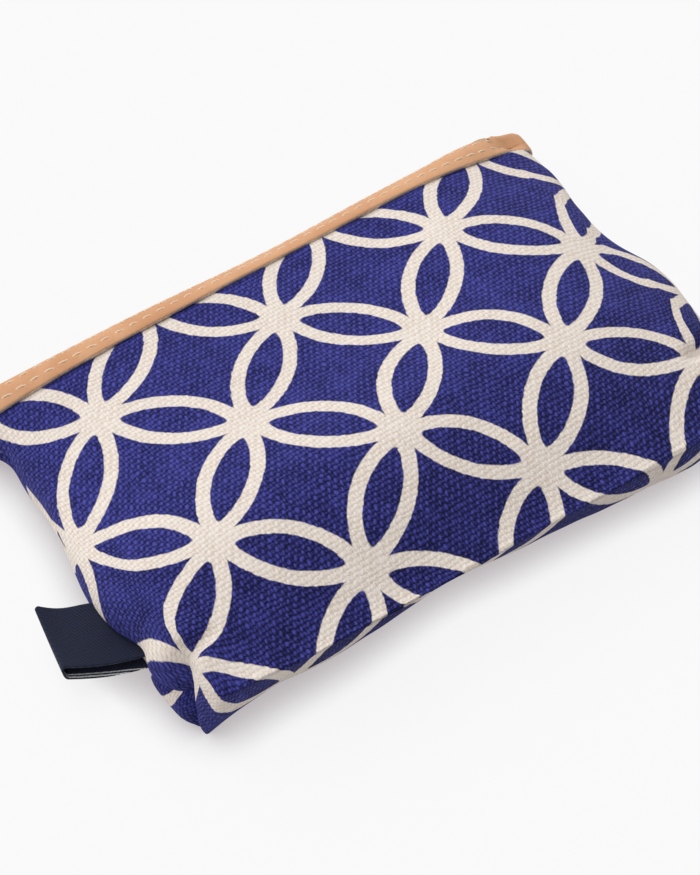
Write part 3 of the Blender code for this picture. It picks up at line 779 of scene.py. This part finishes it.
def wrinkles(points):
    """Low folds and puffs of the cloth, in metres outwards."""
    x, y = points[:, 0] / MM, points[:, 1] / MM
    low = 0.22 * np.sin(0.11 * x + 0.07 * y + 1.1) * np.sin(0.09 * y - 0.05 * x + 0.4)
    low += 0.12 * np.sin(0.23 * x - 0.11 * y + 2.0) * np.sin(0.19 * y + 0.06 * x)
    low += 0.05 * np.sin(0.51 * x + 0.37 * y) * np.sin(0.43 * y - 0.31 * x + 0.7)
    return low * MM * np.clip(points[:, 2] / (4.0 * MM), 0.0, 1.0)


# The boxed corner's short seam: how deep and wide it is drawn in, start and reach across, its shift
# along the bag and how far it leans over near the top
PINCH_DEPTH = 2.3 * MM
PINCH_REACH = 1.5 * MM
PINCH_ACROSS = (49.0 * MM, 6.0 * MM)
PINCH_SHIFT = 0.9 * MM
PINCH_LEAN = math.radians(65.0)

# The cloth swells on both sides of that seam: height, place and reach in mm, and its highest share
SWELLINGS = ((0.3, -4.6, 2.4, 0.9), (0.5, 5.5, 3.4, 0.95))

# The corner below the label is drawn out: place, reach and pull
TOE_PLACE = (-59.2 * MM, -27.6 * MM)
TOE_REACH = 4.0 * MM
TOE_PULL = (-2.0 * MM, -2.2 * MM)


def pinch_corners(points):
    """Draws in the short seam at each boxed corner, and lets the cloth swell on both sides of it."""
    x, y, z = points.T
    off = y - (PINCH_SHIFT - CROSS_SEAM_REACH + 1.4 * CROSS_SEAM_LEAN * (z / BOX_DEPTH - 0.5))
    near = ramp(np.abs(x), *PINCH_ACROSS)
    height = np.clip(z / BOX_DEPTH, 0.0, 1.0)
    valley = PINCH_DEPTH * bump(off, PINCH_REACH) * smooth(height / 0.15) * near
    lean = PINCH_LEAN * ramp(height, 0.6, 0.35)
    lobes = 0.0
    for swell, place, reach, highest in SWELLINGS:
        lobe = np.sin(math.pi * np.clip(height, 0.05, highest))
        lobes = lobes + swell * MM * bump(off - place * MM, reach * MM) * lobe
    points = points + stack(np.sign(x) * (near * lobes - valley * np.cos(lean)), 0.0, -valley * np.sin(lean))
    x, y, z = points.T
    toe = bump(np.hypot(x - TOE_PLACE[0], y - TOE_PLACE[1]), TOE_REACH) * smooth((14.0 * MM - z) / (9.0 * MM))
    return points + stack(*TOE_PULL, 0.0) * toe[:, None]


def canvas_print(points, number, radius):
    """Where each face's corners lie on the cloth, in circle radii. The front, the bottom and the back
    are one piece, and each side is half of the front and half of the back."""
    grid = points[: ROWS * RING].reshape(ROWS, RING, 3)
    bottom = points[number]
    half = SIDE // 2 + 1
    panel = slice(half, half + FRONT_END)
    order = np.arange(RING)
    front = np.concatenate([order[RING - half :], order[: FRONT_END + half]])
    back = order[BACK_START - half : BACK_END + half]

    def spread(columns):
        """Length across from the middle column, and down from the band, of some columns."""
        part = grid[:, columns]
        long = arc_along(part, 0)
        return arc_from_middle(part, 1), long - long[MOUTH_ROWS]

    front_wide, front_long = spread(front)
    back_wide, back_long = spread(back)
    bottom_long = arc_along(bottom, 1) + front_long[-1, panel][:, None]

    # The back goes on from the bottom at the fold, and has one length for all its columns further up
    ends = bottom_long[::-1, -1] + back_long[-1, panel]
    whole = ends[ACROSS // 2]
    at_fold = ramp(back_long / back_long[-1], 0.75, 0.25)
    back_long = whole + (np.pad(ends, half, mode="edge") - whole) * at_fold - back_long

    corners = np.zeros((ROWS - 1, RING, 4, 2))
    for columns, wide, long in ((front, front_wide, front_long), (back, -back_wide, back_long)):
        at = np.stack([wide, long], -1)
        for k, column in enumerate(columns[:-1]):
            corners[:, column] = np.stack([at[:-1, k], at[1:, k], at[1:, k + 1], at[:-1, k + 1]], axis=1)
    bottom_at = np.stack([arc_from_middle(bottom, 0), bottom_long], -1)
    flat = np.concatenate([corners.reshape(-1, 2), cell_corners(bottom_at).reshape(-1, 2)]) / radius
    return place_print(flat[:, 0], -flat[:, 1])


def place_print(wide, up):
    """Shifts the print on the cloth; whole numbers are the print's crossings."""
    u, v = wide - PRINT_ORIGIN[0], up - PRINT_ORIGIN[1]
    drawn_u, drawn_v = u.copy(), v.copy()
    for u0, v0, along, down, reach in PULLS:
        near = bump(np.hypot(u - u0, v - v0), reach)
        drawn_u += along * near
        drawn_v += down * near
    drawn_v += SLANT * np.clip(SLANT_PLACE[0] - u, 0.0, SLANT_WIDTH) * bump(v - SLANT_PLACE[1], SLANT_REACH)
    return np.stack([drawn_u, drawn_v], axis=-1)


def make_canvas(settings):
    across = spread_to_ends(ACROSS)
    down = close_to_middle(DEEP)[1:-1]
    steps = 1.0 - (1.0 - np.linspace(0.0, 1.0, ALONG + 1)) ** 1.35
    alongs = np.concatenate([np.full(MOUTH_ROWS, -0.01), steps])
    tube = ROWS * RING
    points, faces, number = canvas_mesh(across, down, steps)

    # Round the panels into each other
    weight = np.full(len(points), 0.5)
    weight[:tube] *= canvas_hold(across, alongs).ravel()
    points = relax(points, faces, weight, rounds=24)

    outward = wrinkles(points)
    outward[:tube] += canvas_push(points, across, down, alongs, settings.seam_depth).ravel()
    points = pinch_corners(points + vertex_normals(points, faces) * outward[:, None])
    points[:, 2] = np.maximum(points[:, 2], 0.0)

    obj = mesh_object("canvas_bag", points, faces, canvas_material(settings))
    give_uv(obj, "print", canvas_print(points, number, settings.circle_radius))
    wall(obj, settings.thickness)
    return obj


# Leather

# How finely a band is drawn
BAND_COLUMNS = 300
BAND_END_COLUMNS = 16
BAND_ROWS = 30

# How far a band's underside lies above the canvas
BAND_GAP = 0.06 * MM

# The rows of stitches: place from the band's lower edge, and where along it the first dent is. Each
# row begins and ends some columns in from the band's two ends
STITCH_ROWS = (1.9 * MM, 4.9 * MM)
STITCH_STARTS = (0.8 * MM, 2.1 * MM)
STITCH_COLUMNS = ((14, -14), (17, -18))
GROOVE_DEPTH = 0.1 * MM
GROOVE_REACH = 0.5 * MM


def leather_face_material(settings):
    paint = new_paint("tan_leather")
    at = paint.place()
    pores = paint.noise(at, 2600.0, 3.0, 0.6)
    grain = {"Vector": at, "Scale": 1500.0}
    cells = paint.value("ShaderNodeTexVoronoi", {"feature": "F1"}, grain, "Distance")
    cloud = paint.noise(at, 90.0, 3.0, 0.6)
    colour = paint.blend(cloud.step(0.3, 0.72), LEATHER_CLOUD, settings.face)
    return paint.finish(
        Base_Color=paint.blend(pores.step(0.55, 0.8) * 0.3, colour, LEATHER_PORE),
        Roughness=0.5 + pores * 0.16,
        Normal=paint.bump(pores * 0.6 + cells * 0.5, 0.12 * MM, 0.45),
        Specular_IOR_Level=0.4,
    )


def leather_edge_material(settings):
    paint = new_paint("leather_edge")
    fibre = paint.noise(paint.place(), 1800.0, 4.0, 0.7)
    return paint.finish(
        Base_Color=paint.blend(fibre.step(0.35, 0.7), settings.edge, EDGE_FIBRE),
        Roughness=0.85,
        Normal=paint.bump(fibre, 0.25 * MM, 0.8),
        Specular_IOR_Level=0.3,
    )


def band_panels(front):
    across = np.linspace(-1.0, 1.0, BAND_COLUMNS + 1)
    end = np.linspace(0.0, 0.46, BAND_END_COLUMNS + 1)[1:]
    if front:
        return [("left", end[::-1]), ("front", across), ("right", end)]
    return [("right", 1.0 - end[::-1]), ("back", across[::-1]), ("left", 1.0 - end)]


def outer_loop(rows, columns):
    """The numbers of a grid's outermost points, once round."""
    size = rows * columns
    loop = list(range(columns))
    loop += [r * columns + columns - 1 for r in range(1, rows)]
    loop += [size - columns + c for c in reversed(range(columns - 1))]
    loop += [r * columns for r in reversed(range(1, rows - 1))]
    return np.array(loop)


def make_band(name, front, settings, face, edge):
    """A band from its lower edge on the canvas over to the slot, with what its stitches need."""
    panels = band_panels(front)
    parts = np.linspace(0.92, 0.0, BAND_ROWS + 1)
    rows = np.array([np.concatenate([mouth_point(p, s, part) for p, s in panels]) for part in parts])
    faces = grid_faces(*rows.shape[:2])
    normals = vertex_normals(rows.reshape(-1, 3), faces).reshape(rows.shape)
    from_edge = arc_along(rows[::-1], 0)[::-1]
    along = arc_along(rows, 1)

    # The stitches press the leather in, its face rolls softly, and its cut edges are rounded
    groove = 0.0
    for row, start in zip(STITCH_ROWS, STITCH_STARTS):
        beat = 0.6 + 0.4 * np.cos(math.tau * (along - start) / settings.pitch)
        groove = groove + GROOVE_DEPTH * bump(from_edge - row, GROOVE_REACH) * beat
    roll = 0.12 * MM * np.sin(along / (9.0 * MM)) * np.sin(from_edge / (3.0 * MM) + along / (23.0 * MM))
    rim = 0.14 * MM * bump(from_edge, 0.2 * MM) + 0.3 * MM * bump(from_edge - from_edge[0], 0.35 * MM)
    rim = rim + 0.25 * MM * bump(from_edge, 1.4 * MM)
    top = rows + normals * (settings.thickness + BAND_GAP + roll - groove - rim)[..., None]
    under = rows + normals * BAND_GAP
    points = np.concatenate([top.reshape(-1, 3), under.reshape(-1, 3)])

    size = rows.shape[0] * rows.shape[1]
    loop = outer_loop(*rows.shape[:2])
    after = np.roll(loop, -1)
    sides = np.stack([loop, after, after + size, loop + size], axis=1)
    obj = mesh_object(name, points, np.concatenate([faces, faces[:, ::-1] + size, sides]), face)
    obj.data.materials.append(edge)
    index = np.zeros(len(obj.data.polygons), np.int32)
    index[len(faces) * 2 :] = 1
    obj.data.polygons.foreach_set("material_index", index)
    obj.data.update()
    return obj, (top, normals, from_edge)


def stitch_tree(material):
    """Nodes that lay a stitch at each step along a line, with its loose side outward."""
    tree = bpy.data.node_groups.new("stitches", "GeometryNodeTree")
    tree.is_modifier = True
    face = tree.interface
    face.new_socket("Geometry", in_out="INPUT", socket_type="NodeSocketGeometry")
    for name, default in (("Pitch", 3.0 * MM), ("Stitch length", 2.0 * MM), ("Thread width", 0.55 * MM)):
        face.new_socket(name, in_out="INPUT", socket_type="NodeSocketFloat").default_value = default
    face.new_socket("Geometry", in_out="OUTPUT", socket_type="NodeSocketGeometry")

    nodes = Nodes(tree)
    given = nodes.node("NodeGroupInput").outputs
    source, pitch, length, width = [Value(nodes, given[k]) for k in range(4)]
    line = nodes.value("GeometryNodeMeshToCurve", None, {"Mesh": source})
    even = nodes.value("GeometryNodeResampleCurve", {"mode": "LENGTH"}, {"Curve": line, "Length": pitch})
    sunk = width * -0.75
    bow = {
        "Resolution": 7,
        "Start": nodes.join(x=length * -0.5, z=sunk),
        "Middle": nodes.join(z=width * 0.85),
        "End": nodes.join(x=length * 0.5, z=sunk),
    }
    circle = {"Resolution": 8, "Radius": width * 0.5}
    shape = {
        "Curve": nodes.value("GeometryNodeCurveQuadraticBezier", None, bow),
        "Profile Curve": nodes.value("GeometryNodeCurvePrimitiveCircle", {"mode": "RADIUS"}, circle),
        "Fill Caps": True,
    }
    thread = nodes.value("GeometryNodeCurveToMesh", None, shape)
    up = nodes.value("GeometryNodeInputNamedAttribute", {"data_type": "FLOAT_VECTOR"}, {"Name": "up"})
    axes = {"Primary Axis": nodes.value("GeometryNodeInputTangent"), "Secondary Axis": up}
    turned = nodes.value("FunctionNodeAxesToRotation", {"primary_axis": "X", "secondary_axis": "Z"}, axes)
    laying = {"Points": even, "Instance": thread, "Rotation": turned}
    laid = nodes.value("GeometryNodeInstanceOnPoints", None, laying)
    slant = nodes.value("FunctionNodeRandomValue", {"data_type": "FLOAT"}, {2: -0.16, 3: 0.05, "Seed": 7}, 1)
    leaning = {"Instances": laid, "Rotation": nodes.join(z=slant)}
    leaned = nodes.value("GeometryNodeRotateInstances", None, leaning)
    real = nodes.value("GeometryNodeRealizeInstances", None, {"Geometry": leaned})
    shaded = nodes.value("GeometryNodeSetShadeSmooth", None, {"Geometry": real})
    painted = nodes.value("GeometryNodeSetMaterial", None, {"Geometry": shaded, "Material": material})
    nodes.node("NodeGroupOutput", None, {0: painted})
    return tree


def run_nodes(name, points, edges, attributes, tree, inputs):
    """Runs a geometry tree on a line of points, and keeps the result as a plain mesh."""
    mesh = bpy.data.meshes.new(name + "_line")
    mesh.from_pydata([tuple(p) for p in points], edges, [])
    for key, values in attributes.items():
        layer = mesh.attributes.new(key, "FLOAT_VECTOR", "POINT")
        layer.data.foreach_set("vector", np.asarray(values, np.float32).ravel())
    line = bpy.data.objects.new(name + "_line", mesh)
    bpy.context.scene.collection.objects.link(line)
    nodes = line.modifiers.new("nodes", "NODES")
    nodes.node_group = tree
    for item in tree.interface.items_tree:
        if item.item_type == "SOCKET" and item.in_out == "INPUT" and item.name in inputs:
            nodes[item.identifier] = inputs[item.name]
    depsgraph = bpy.context.evaluated_depsgraph_get()
    result = bpy.data.meshes.new_from_object(line.evaluated_get(depsgraph), depsgraph=depsgraph)
    line.modifiers.clear()
    bpy.data.objects.remove(line)
    result.name = name
    obj = bpy.data.objects.new(name, result)
    bpy.context.scene.collection.objects.link(obj)
    return obj


def stitch_lines(bands):
    """Points and outward directions along every row of stitches, with the edges that join them."""
    points, ups, edges = [], [], []
    for top, normals, from_edge in bands:
        for row, (first, last) in zip(STITCH_ROWS, STITCH_COLUMNS):
            start = len(points)
            for c in range(first, top.shape[1] + last):
                reach = from_edge[::-1, c]
                for out, source in ((points, top), (ups, normals)):
                    out.append([np.interp(row, reach, source[::-1, c, axis]) for axis in range(3)])
            edges += [(i, i + 1) for i in range(start, len(points) - 1)]
    return points, ups, edges


def thread_material(settings):
    paint = new_paint("sewing_thread")
    at = paint.place()
    bands = {"wave_type": "BANDS", "bands_direction": "DIAGONAL"}
    sockets = {"Vector": at, "Scale": 900.0, "Distortion": 1.0}
    twist = paint.value("ShaderNodeTexWave", bands, sockets, "Fac")
    return paint.finish(
        # Painted shade: the thread is painted darker in the grooves of its twist
        Base_Color=paint.blend(twist, THREAD_PAINTED_SHADE, settings.cotton),
        Roughness=0.7 + paint.noise(at, 400.0) * 0.1,
        Normal=paint.bump(twist, 0.08 * MM, 0.6),
    )


# Zip

# Ribs of the tape to the metre, the share of the slot it fills, and how far its inner edge lies from the
# middle of the chain
TAPE_RIBS = 1500.0
TAPE_SHARE = 0.98
TAPE_INNER = 2.4 * MM

BRASS_NODES = ("front_zip_teeth", "back_zip_teeth", "front_top_stop", "back_top_stop", "bottom_stop")
SLIDER_NODES = ("slider", "zip_pull")


def tape_material(settings):
    paint = new_paint("zip_tape")
    x, y, _ = paint.split(paint.uv("weave"))
    rib = ((x * TAPE_RIBS) % 1.0 - 0.5) * math.pi
    zigzag = abs((x * (0.5 * TAPE_RIBS)) % 1.0 - 0.5) * 2.0
    slant = ((y * TAPE_RIBS + zigzag) % 1.0 - 0.5) * math.pi
    weave = rib.cos() * slant.cos()
    return paint.finish(
        # Painted shade: the tape is painted darker in the hollows between its ribs
        Base_Color=paint.blend(weave, TAPE_PAINTED_SHADE, settings.tape),
        Roughness=0.85,
        Normal=paint.bump(weave, 0.12 * MM, 0.8),
        Specular_IOR_Level=0.25,
    )


def metal_material(name, bright, tarnish, roughness):
    paint = new_paint(name)
    at = paint.place()
    cloud = paint.noise(at, 900.0, 4.0, 0.65)
    fine = paint.noise(at, 2600.0, 3.0, 0.6)
    old = (cloud * 0.7 + fine * 0.3).step(0.42, 0.62)
    return paint.finish(
        Base_Color=paint.blend(old * 0.45, bright, tarnish),
        Metallic=1.0,
        Roughness=roughness + old * 0.22,
        Normal=paint.bump(fine, 0.03 * MM, 0.35),
    )


def make_tape(name, front, material):
    """One half of the zip's tape, from beside the teeth to the slot's edge and back under the canvas."""
    panel, sign = ("front", 1.0) if front else ("back", -1.0)
    shares = np.linspace(-TAPE_SHARE, TAPE_SHARE, 241)
    if not front:
        shares = shares[::-1]
    inner = slot_point(panel, shares)
    rows = []
    for share in np.linspace(0.0, 1.0, 5)[:-1]:
        drop = mix(SLOT_HALF_HEIGHT - TAPE_INNER, 0.0, share)
        rows.append(settle(inner - np.array([0.0, 0.0, sign * drop])))
    for part in np.linspace(1.0, 0.5, 11):
        rows.append(mouth_point(panel, shares, part))
    rows = np.array(rows)
    obj = woven_object(name, rows, grid_faces(*rows.shape[:2]), material)
    wall(obj, TAPE)
    return obj


# Label

LABEL_HEIGHT = 14.4 * MM

# The label's corners in mm: in the seam and at its fold, each at its upper and its lower edge
LABEL_CORNERS = (
    ((-60.0, -4.0, 8.2), (-71.3, 2.3, 9.4)),
    ((-60.0, -16.4, 8.2), (-73.4, -11.2, 9.2)),
)

# Half of the opening between its two layers, at the upper and at the lower edge
LABEL_OPEN = (0.45 * MM, 1.1 * MM)
LABEL_STEPS = 34
LABEL_ROWS = 41

# The border's lines: place from the lower edge and half width in mm. They begin this far along the
# ribbon, so they show on the under layer
BORDER_LINES = ((0.35, 0.16), (0.95, 0.14), (1.5, 0.12))
BORDER_START = 15.5 * MM


def label_material(settings):
    paint = new_paint("label_navy")
    x, y, _ = paint.split(paint.uv("weave"))
    pick = ((y * 3000.0 + (x * 1400.0).floor() * 0.5) % 1.0 - 0.5) * math.pi
    end = ((x * 1500.0 + y * 700.0) % 1.0 - 0.5) * math.pi
    weave = pick.cos() * (0.3 + 0.7 * end.cos())
    from_low = LABEL_HEIGHT - y
    line = 0.0
    for place, half_width in BORDER_LINES:
        line = (abs(from_low - place * MM) < half_width * MM) + line
    # Painted shade: the ribbon and its border lines are painted darker in the hollows of the weave
    colour = paint.blend(weave, RIBBON_PAINTED_SHADE, settings.ribbon)
    colour = paint.blend(line * (x > BORDER_START) * (0.5 + 0.5 * weave), colour, settings.border)
    return paint.finish(
        Base_Color=colour,
        Roughness=0.7,
        Normal=paint.bump(weave, 0.12 * MM, 0.9),
        Sheen_Weight=0.05,
        Specular_IOR_Level=0.25,
    )


def make_label(settings):
    """A woven ribbon folded in two: out from the side seam, round the fold and back."""
    out = np.linspace(0.0, 1.0, LABEL_STEPS)
    turn = np.linspace(0.0, math.pi, 9)[1:-1]
    away = np.concatenate([out, 1.0 + 0.03 * np.sin(turn), out[::-1]])
    side = np.concatenate([np.ones(LABEL_STEPS), np.cos(turn), -np.ones(LABEL_STEPS)])
    (near_top, far_top), (near_low, far_low) = np.array(LABEL_CORNERS) * MM
    rows = []
    for share in np.linspace(0.0, 1.0, LABEL_ROWS):
        row = mix(mix(near_top, near_low, share), mix(far_top, far_low, share), away[:, None])
        wave = 0.9 * MM * np.sin(math.tau * (away * 0.9 + 0.05)) * (1.0 - share) ** 1.5
        lifted = 0.5 * MM * away ** 4 * (share - 0.5) ** 2 * 4.0
        row[:, 2] += wave + lifted + side * mix(*LABEL_OPEN, share ** 2)
        row[:, 1] -= 0.6 * MM * np.sin(math.pi * np.clip(away, 0.0, 1.0)) * share ** 4
        row[:, 1] -= 0.45 * MM * (1.0 - side)
        rows.append(row)
    rows = np.array(rows)
    faces = grid_faces(*rows.shape[:2])[:, ::-1]
    obj = woven_object("folded_label", rows, faces, label_material(settings))
    wall(obj, settings.thickness, offset=1.0)
    return obj


# Stage

FLOOR_HALF = 3.0
FLOOR_Z = -0.03 * MM

# The sky is brightest towards here, and the lamp shines this way
BRIGHT_SKY = Vector((-0.3, 0.75, 0.6)).normalized()
LAMP_WAY = Vector((0.2, -0.42, -0.88)).normalized()

# The camera as solved from the photograph; its focal length and the photograph's height are in pixels
SENSOR = 36.0
FOCAL_PIXELS = 1884.0
PHOTO_HEIGHT = 875.0
CAMERA_PLACE = Vector((-121.112, -163.643, 293.532)) * MM
CAMERA_RIGHT = (0.824214, -0.566261, 0.004272)
CAMERA_UP = (0.459727, 0.673518, 0.578813)
CAMERA_BACK = (-0.330636, -0.475103, 0.815449)


def make_floor(settings):
    """A pale floor that the camera sees nearly unlit, with a soft shadow close to the pouch."""
    paint = new_paint("floor")
    lit = paint.value("ShaderNodeBsdfDiffuse", None, {"Color": settings.floor})
    reach = {"Distance": settings.shadow_reach}
    open_sky = paint.value("ShaderNodeAmbientOcclusion", {"samples": 16}, reach, "AO")
    pale = paint.blend(open_sky.step(0.2, 0.95), settings.shadow, settings.floor)
    plain = paint.value("ShaderNodeEmission", None, {"Color": pale, "Strength": 1.03})
    seen = paint.value("ShaderNodeLightPath", None, None, "Is Camera Ray")
    both = paint.value("ShaderNodeMixShader", None, {0: seen * settings.glow, 1: lit, 2: plain})
    paint.node("ShaderNodeOutputMaterial", None, {"Surface": both})
    points = [(x * FLOOR_HALF, y * FLOOR_HALF, FLOOR_Z) for x, y in ((-1, -1), (1, -1), (1, 1), (-1, 1))]
    mesh_object("floor", points, [(0, 1, 2, 3)], paint.owner)


def make_light(scene, settings):
    """A sky that is brightest behind the zip, and one large soft lamp."""
    scene.world = bpy.data.worlds.new("studio")
    paint = Paint(scene.world)
    path = paint.node("ShaderNodeLightPath").outputs
    seen = Value(paint, path["Is Camera Ray"]).top(Value(paint, path["Is Glossy Ray"]))
    sockets = {0: paint.value("ShaderNodeTexCoord", None, None, "Generated"), 1: BRIGHT_SKY}
    towards_back = paint.value("ShaderNodeVectorMath", {"operation": "DOT_PRODUCT"}, sockets, "Value")
    light = towards_back.step(-0.3, 1.0, settings.sky, settings.back_sky)
    level = paint.value("ShaderNodeMix", None, {0: seen, 2: light, 3: settings.floor[0]})
    sky = paint.value("ShaderNodeBackground", None, {"Strength": level})
    paint.node("ShaderNodeOutputWorld", None, {0: sky})

    lamp = bpy.data.lights.new("soft_lamp", "SUN")
    lamp.energy = settings.sun * math.pi / abs(LAMP_WAY.z)
    lamp.angle = settings.spread
    obj = bpy.data.objects.new("soft_lamp", lamp)
    obj.rotation_mode = "QUATERNION"
    obj.rotation_quaternion = LAMP_WAY.to_track_quat("-Z", "Y")
    scene.collection.objects.link(obj)


def make_camera(scene):
    camera = bpy.data.cameras.new("camera")
    camera.sensor_width = SENSOR
    camera.lens = SENSOR * FOCAL_PIXELS / PHOTO_HEIGHT
    camera.clip_start, camera.clip_end = 0.01, 20.0
    turn = Matrix((CAMERA_RIGHT, CAMERA_UP, CAMERA_BACK)).transposed()
    obj = bpy.data.objects.new("camera", camera)
    obj.matrix_world = Matrix.Translation(CAMERA_PLACE) @ turn.to_4x4()
    scene.collection.objects.link(obj)
    scene.camera = obj


# Operators and panel


class POUCH_OT_canvas(bpy.types.Operator):
    """Make the bag of printed canvas"""

    bl_idname = "pouch.canvas"
    bl_label = "Canvas bag"

    def execute(self, context):
        bag = make_canvas(context.scene.pouch_canvas)
        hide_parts("canvas_body")
        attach(bag, "pouch")
        return {"FINISHED"}


class POUCH_OT_leather(bpy.types.Operator):
    """Make the two leather bands and their stitches"""

    bl_idname = "pouch.leather"
    bl_label = "Leather bands"

    def execute(self, context):
        settings = context.scene.pouch_leather
        face, edge = leather_face_material(settings), leather_edge_material(settings)
        lines = []
        for name, front in (("front_leather_band", True), ("back_leather_band", False)):
            band, line = make_band(name.replace("leather_", ""), front, settings, face, edge)
            lines.append(line)
            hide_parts(name)
            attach(band, "pouch")
        points, ups, edges = stitch_lines(lines)
        tree = stitch_tree(thread_material(settings))
        inputs = {"Pitch": settings.pitch, "Stitch length": settings.stitch, "Thread width": settings.thread}
        stitches = run_nodes("leather_stitches", points, edges, {"up": ups}, tree, inputs)
        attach(stitches, "pouch")
        return {"FINISHED"}


class POUCH_OT_zip(bpy.types.Operator):
    """Make the zip's tapes and give its metal parts their finish"""

    bl_idname = "pouch.zip"
    bl_label = "Zip"

    def execute(self, context):
        settings = context.scene.pouch_zip
        cloth = tape_material(settings)
        for name, front in (("front_zip_tape", True), ("back_zip_tape", False)):
            tape = make_tape(name.replace("zip_tape", "tape"), front, cloth)
            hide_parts(name)
            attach(tape, "pouch")
        brass = metal_material("zip_brass", settings.brass, settings.tarnish, 0.3)
        metal = metal_material("slider_metal", settings.metal, settings.tarnish, 0.2)
        for names, finish in ((BRASS_NODES, brass), (SLIDER_NODES, metal)):
            for name in names:
                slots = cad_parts[name].material_slots
                if not slots:
                    raise RuntimeError(f"{name} has no material slot")
                for slot in slots:
                    slot.material = finish
        return {"FINISHED"}


class POUCH_OT_label(bpy.types.Operator):
    """Make the folded label in the side seam"""

    bl_idname = "pouch.label"
    bl_label = "Label"

    def execute(self, context):
        label = make_label(context.scene.pouch_label)
        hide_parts("woven_label")
        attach(label, "pouch")
        return {"FINISHED"}


class POUCH_OT_stage(bpy.types.Operator):
    """Make the floor, the light and the camera"""

    bl_idname = "pouch.stage"
    bl_label = "Stage"

    def execute(self, context):
        settings = context.scene.pouch_stage
        scene = context.scene
        make_floor(settings)
        make_light(scene, settings)
        make_camera(scene)
        scene.view_settings.view_transform = "Standard"
        return {"FINISHED"}


class POUCH_PT_panel(bpy.types.Panel):
    bl_label = "Zip pouch"
    bl_idname = "POUCH_PT_panel"
    bl_space_type = "VIEW_3D"
    bl_region_type = "UI"
    bl_category = "Zip pouch"

    def draw(self, context):
        for operator, group in zip(OPERATORS, GROUPS):
            box = self.layout.box()
            box.operator(operator.bl_idname)
            settings = getattr(context.scene, group)
            for name in settings.bl_rna.properties.keys():
                if name not in {"rna_type", "name"}:
                    box.prop(settings, name)


SETTINGS = (
    PouchCanvasSettings,
    PouchLeatherSettings,
    PouchZipSettings,
    PouchLabelSettings,
    PouchStageSettings,
)
OPERATORS = (POUCH_OT_canvas, POUCH_OT_leather, POUCH_OT_zip, POUCH_OT_label, POUCH_OT_stage)
GROUPS = ("pouch_canvas", "pouch_leather", "pouch_zip", "pouch_label", "pouch_stage")


def register():
    for kind in SETTINGS + OPERATORS + (POUCH_PT_panel,):
        bpy.utils.register_class(kind)
    for group, kind in zip(GROUPS, SETTINGS):
        setattr(bpy.types.Scene, group, bpy.props.PointerProperty(type=kind))


def unregister():
    for group in GROUPS:
        delattr(bpy.types.Scene, group)
    for kind in reversed(SETTINGS + OPERATORS + (POUCH_PT_panel,)):
        bpy.utils.unregister_class(kind)


def main():
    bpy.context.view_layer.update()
    register()
    bpy.ops.pouch.canvas()
    bpy.ops.pouch.leather()
    bpy.ops.pouch.zip()
    bpy.ops.pouch.label()
    bpy.ops.pouch.stage()


if __name__ == "__main__":
    main()
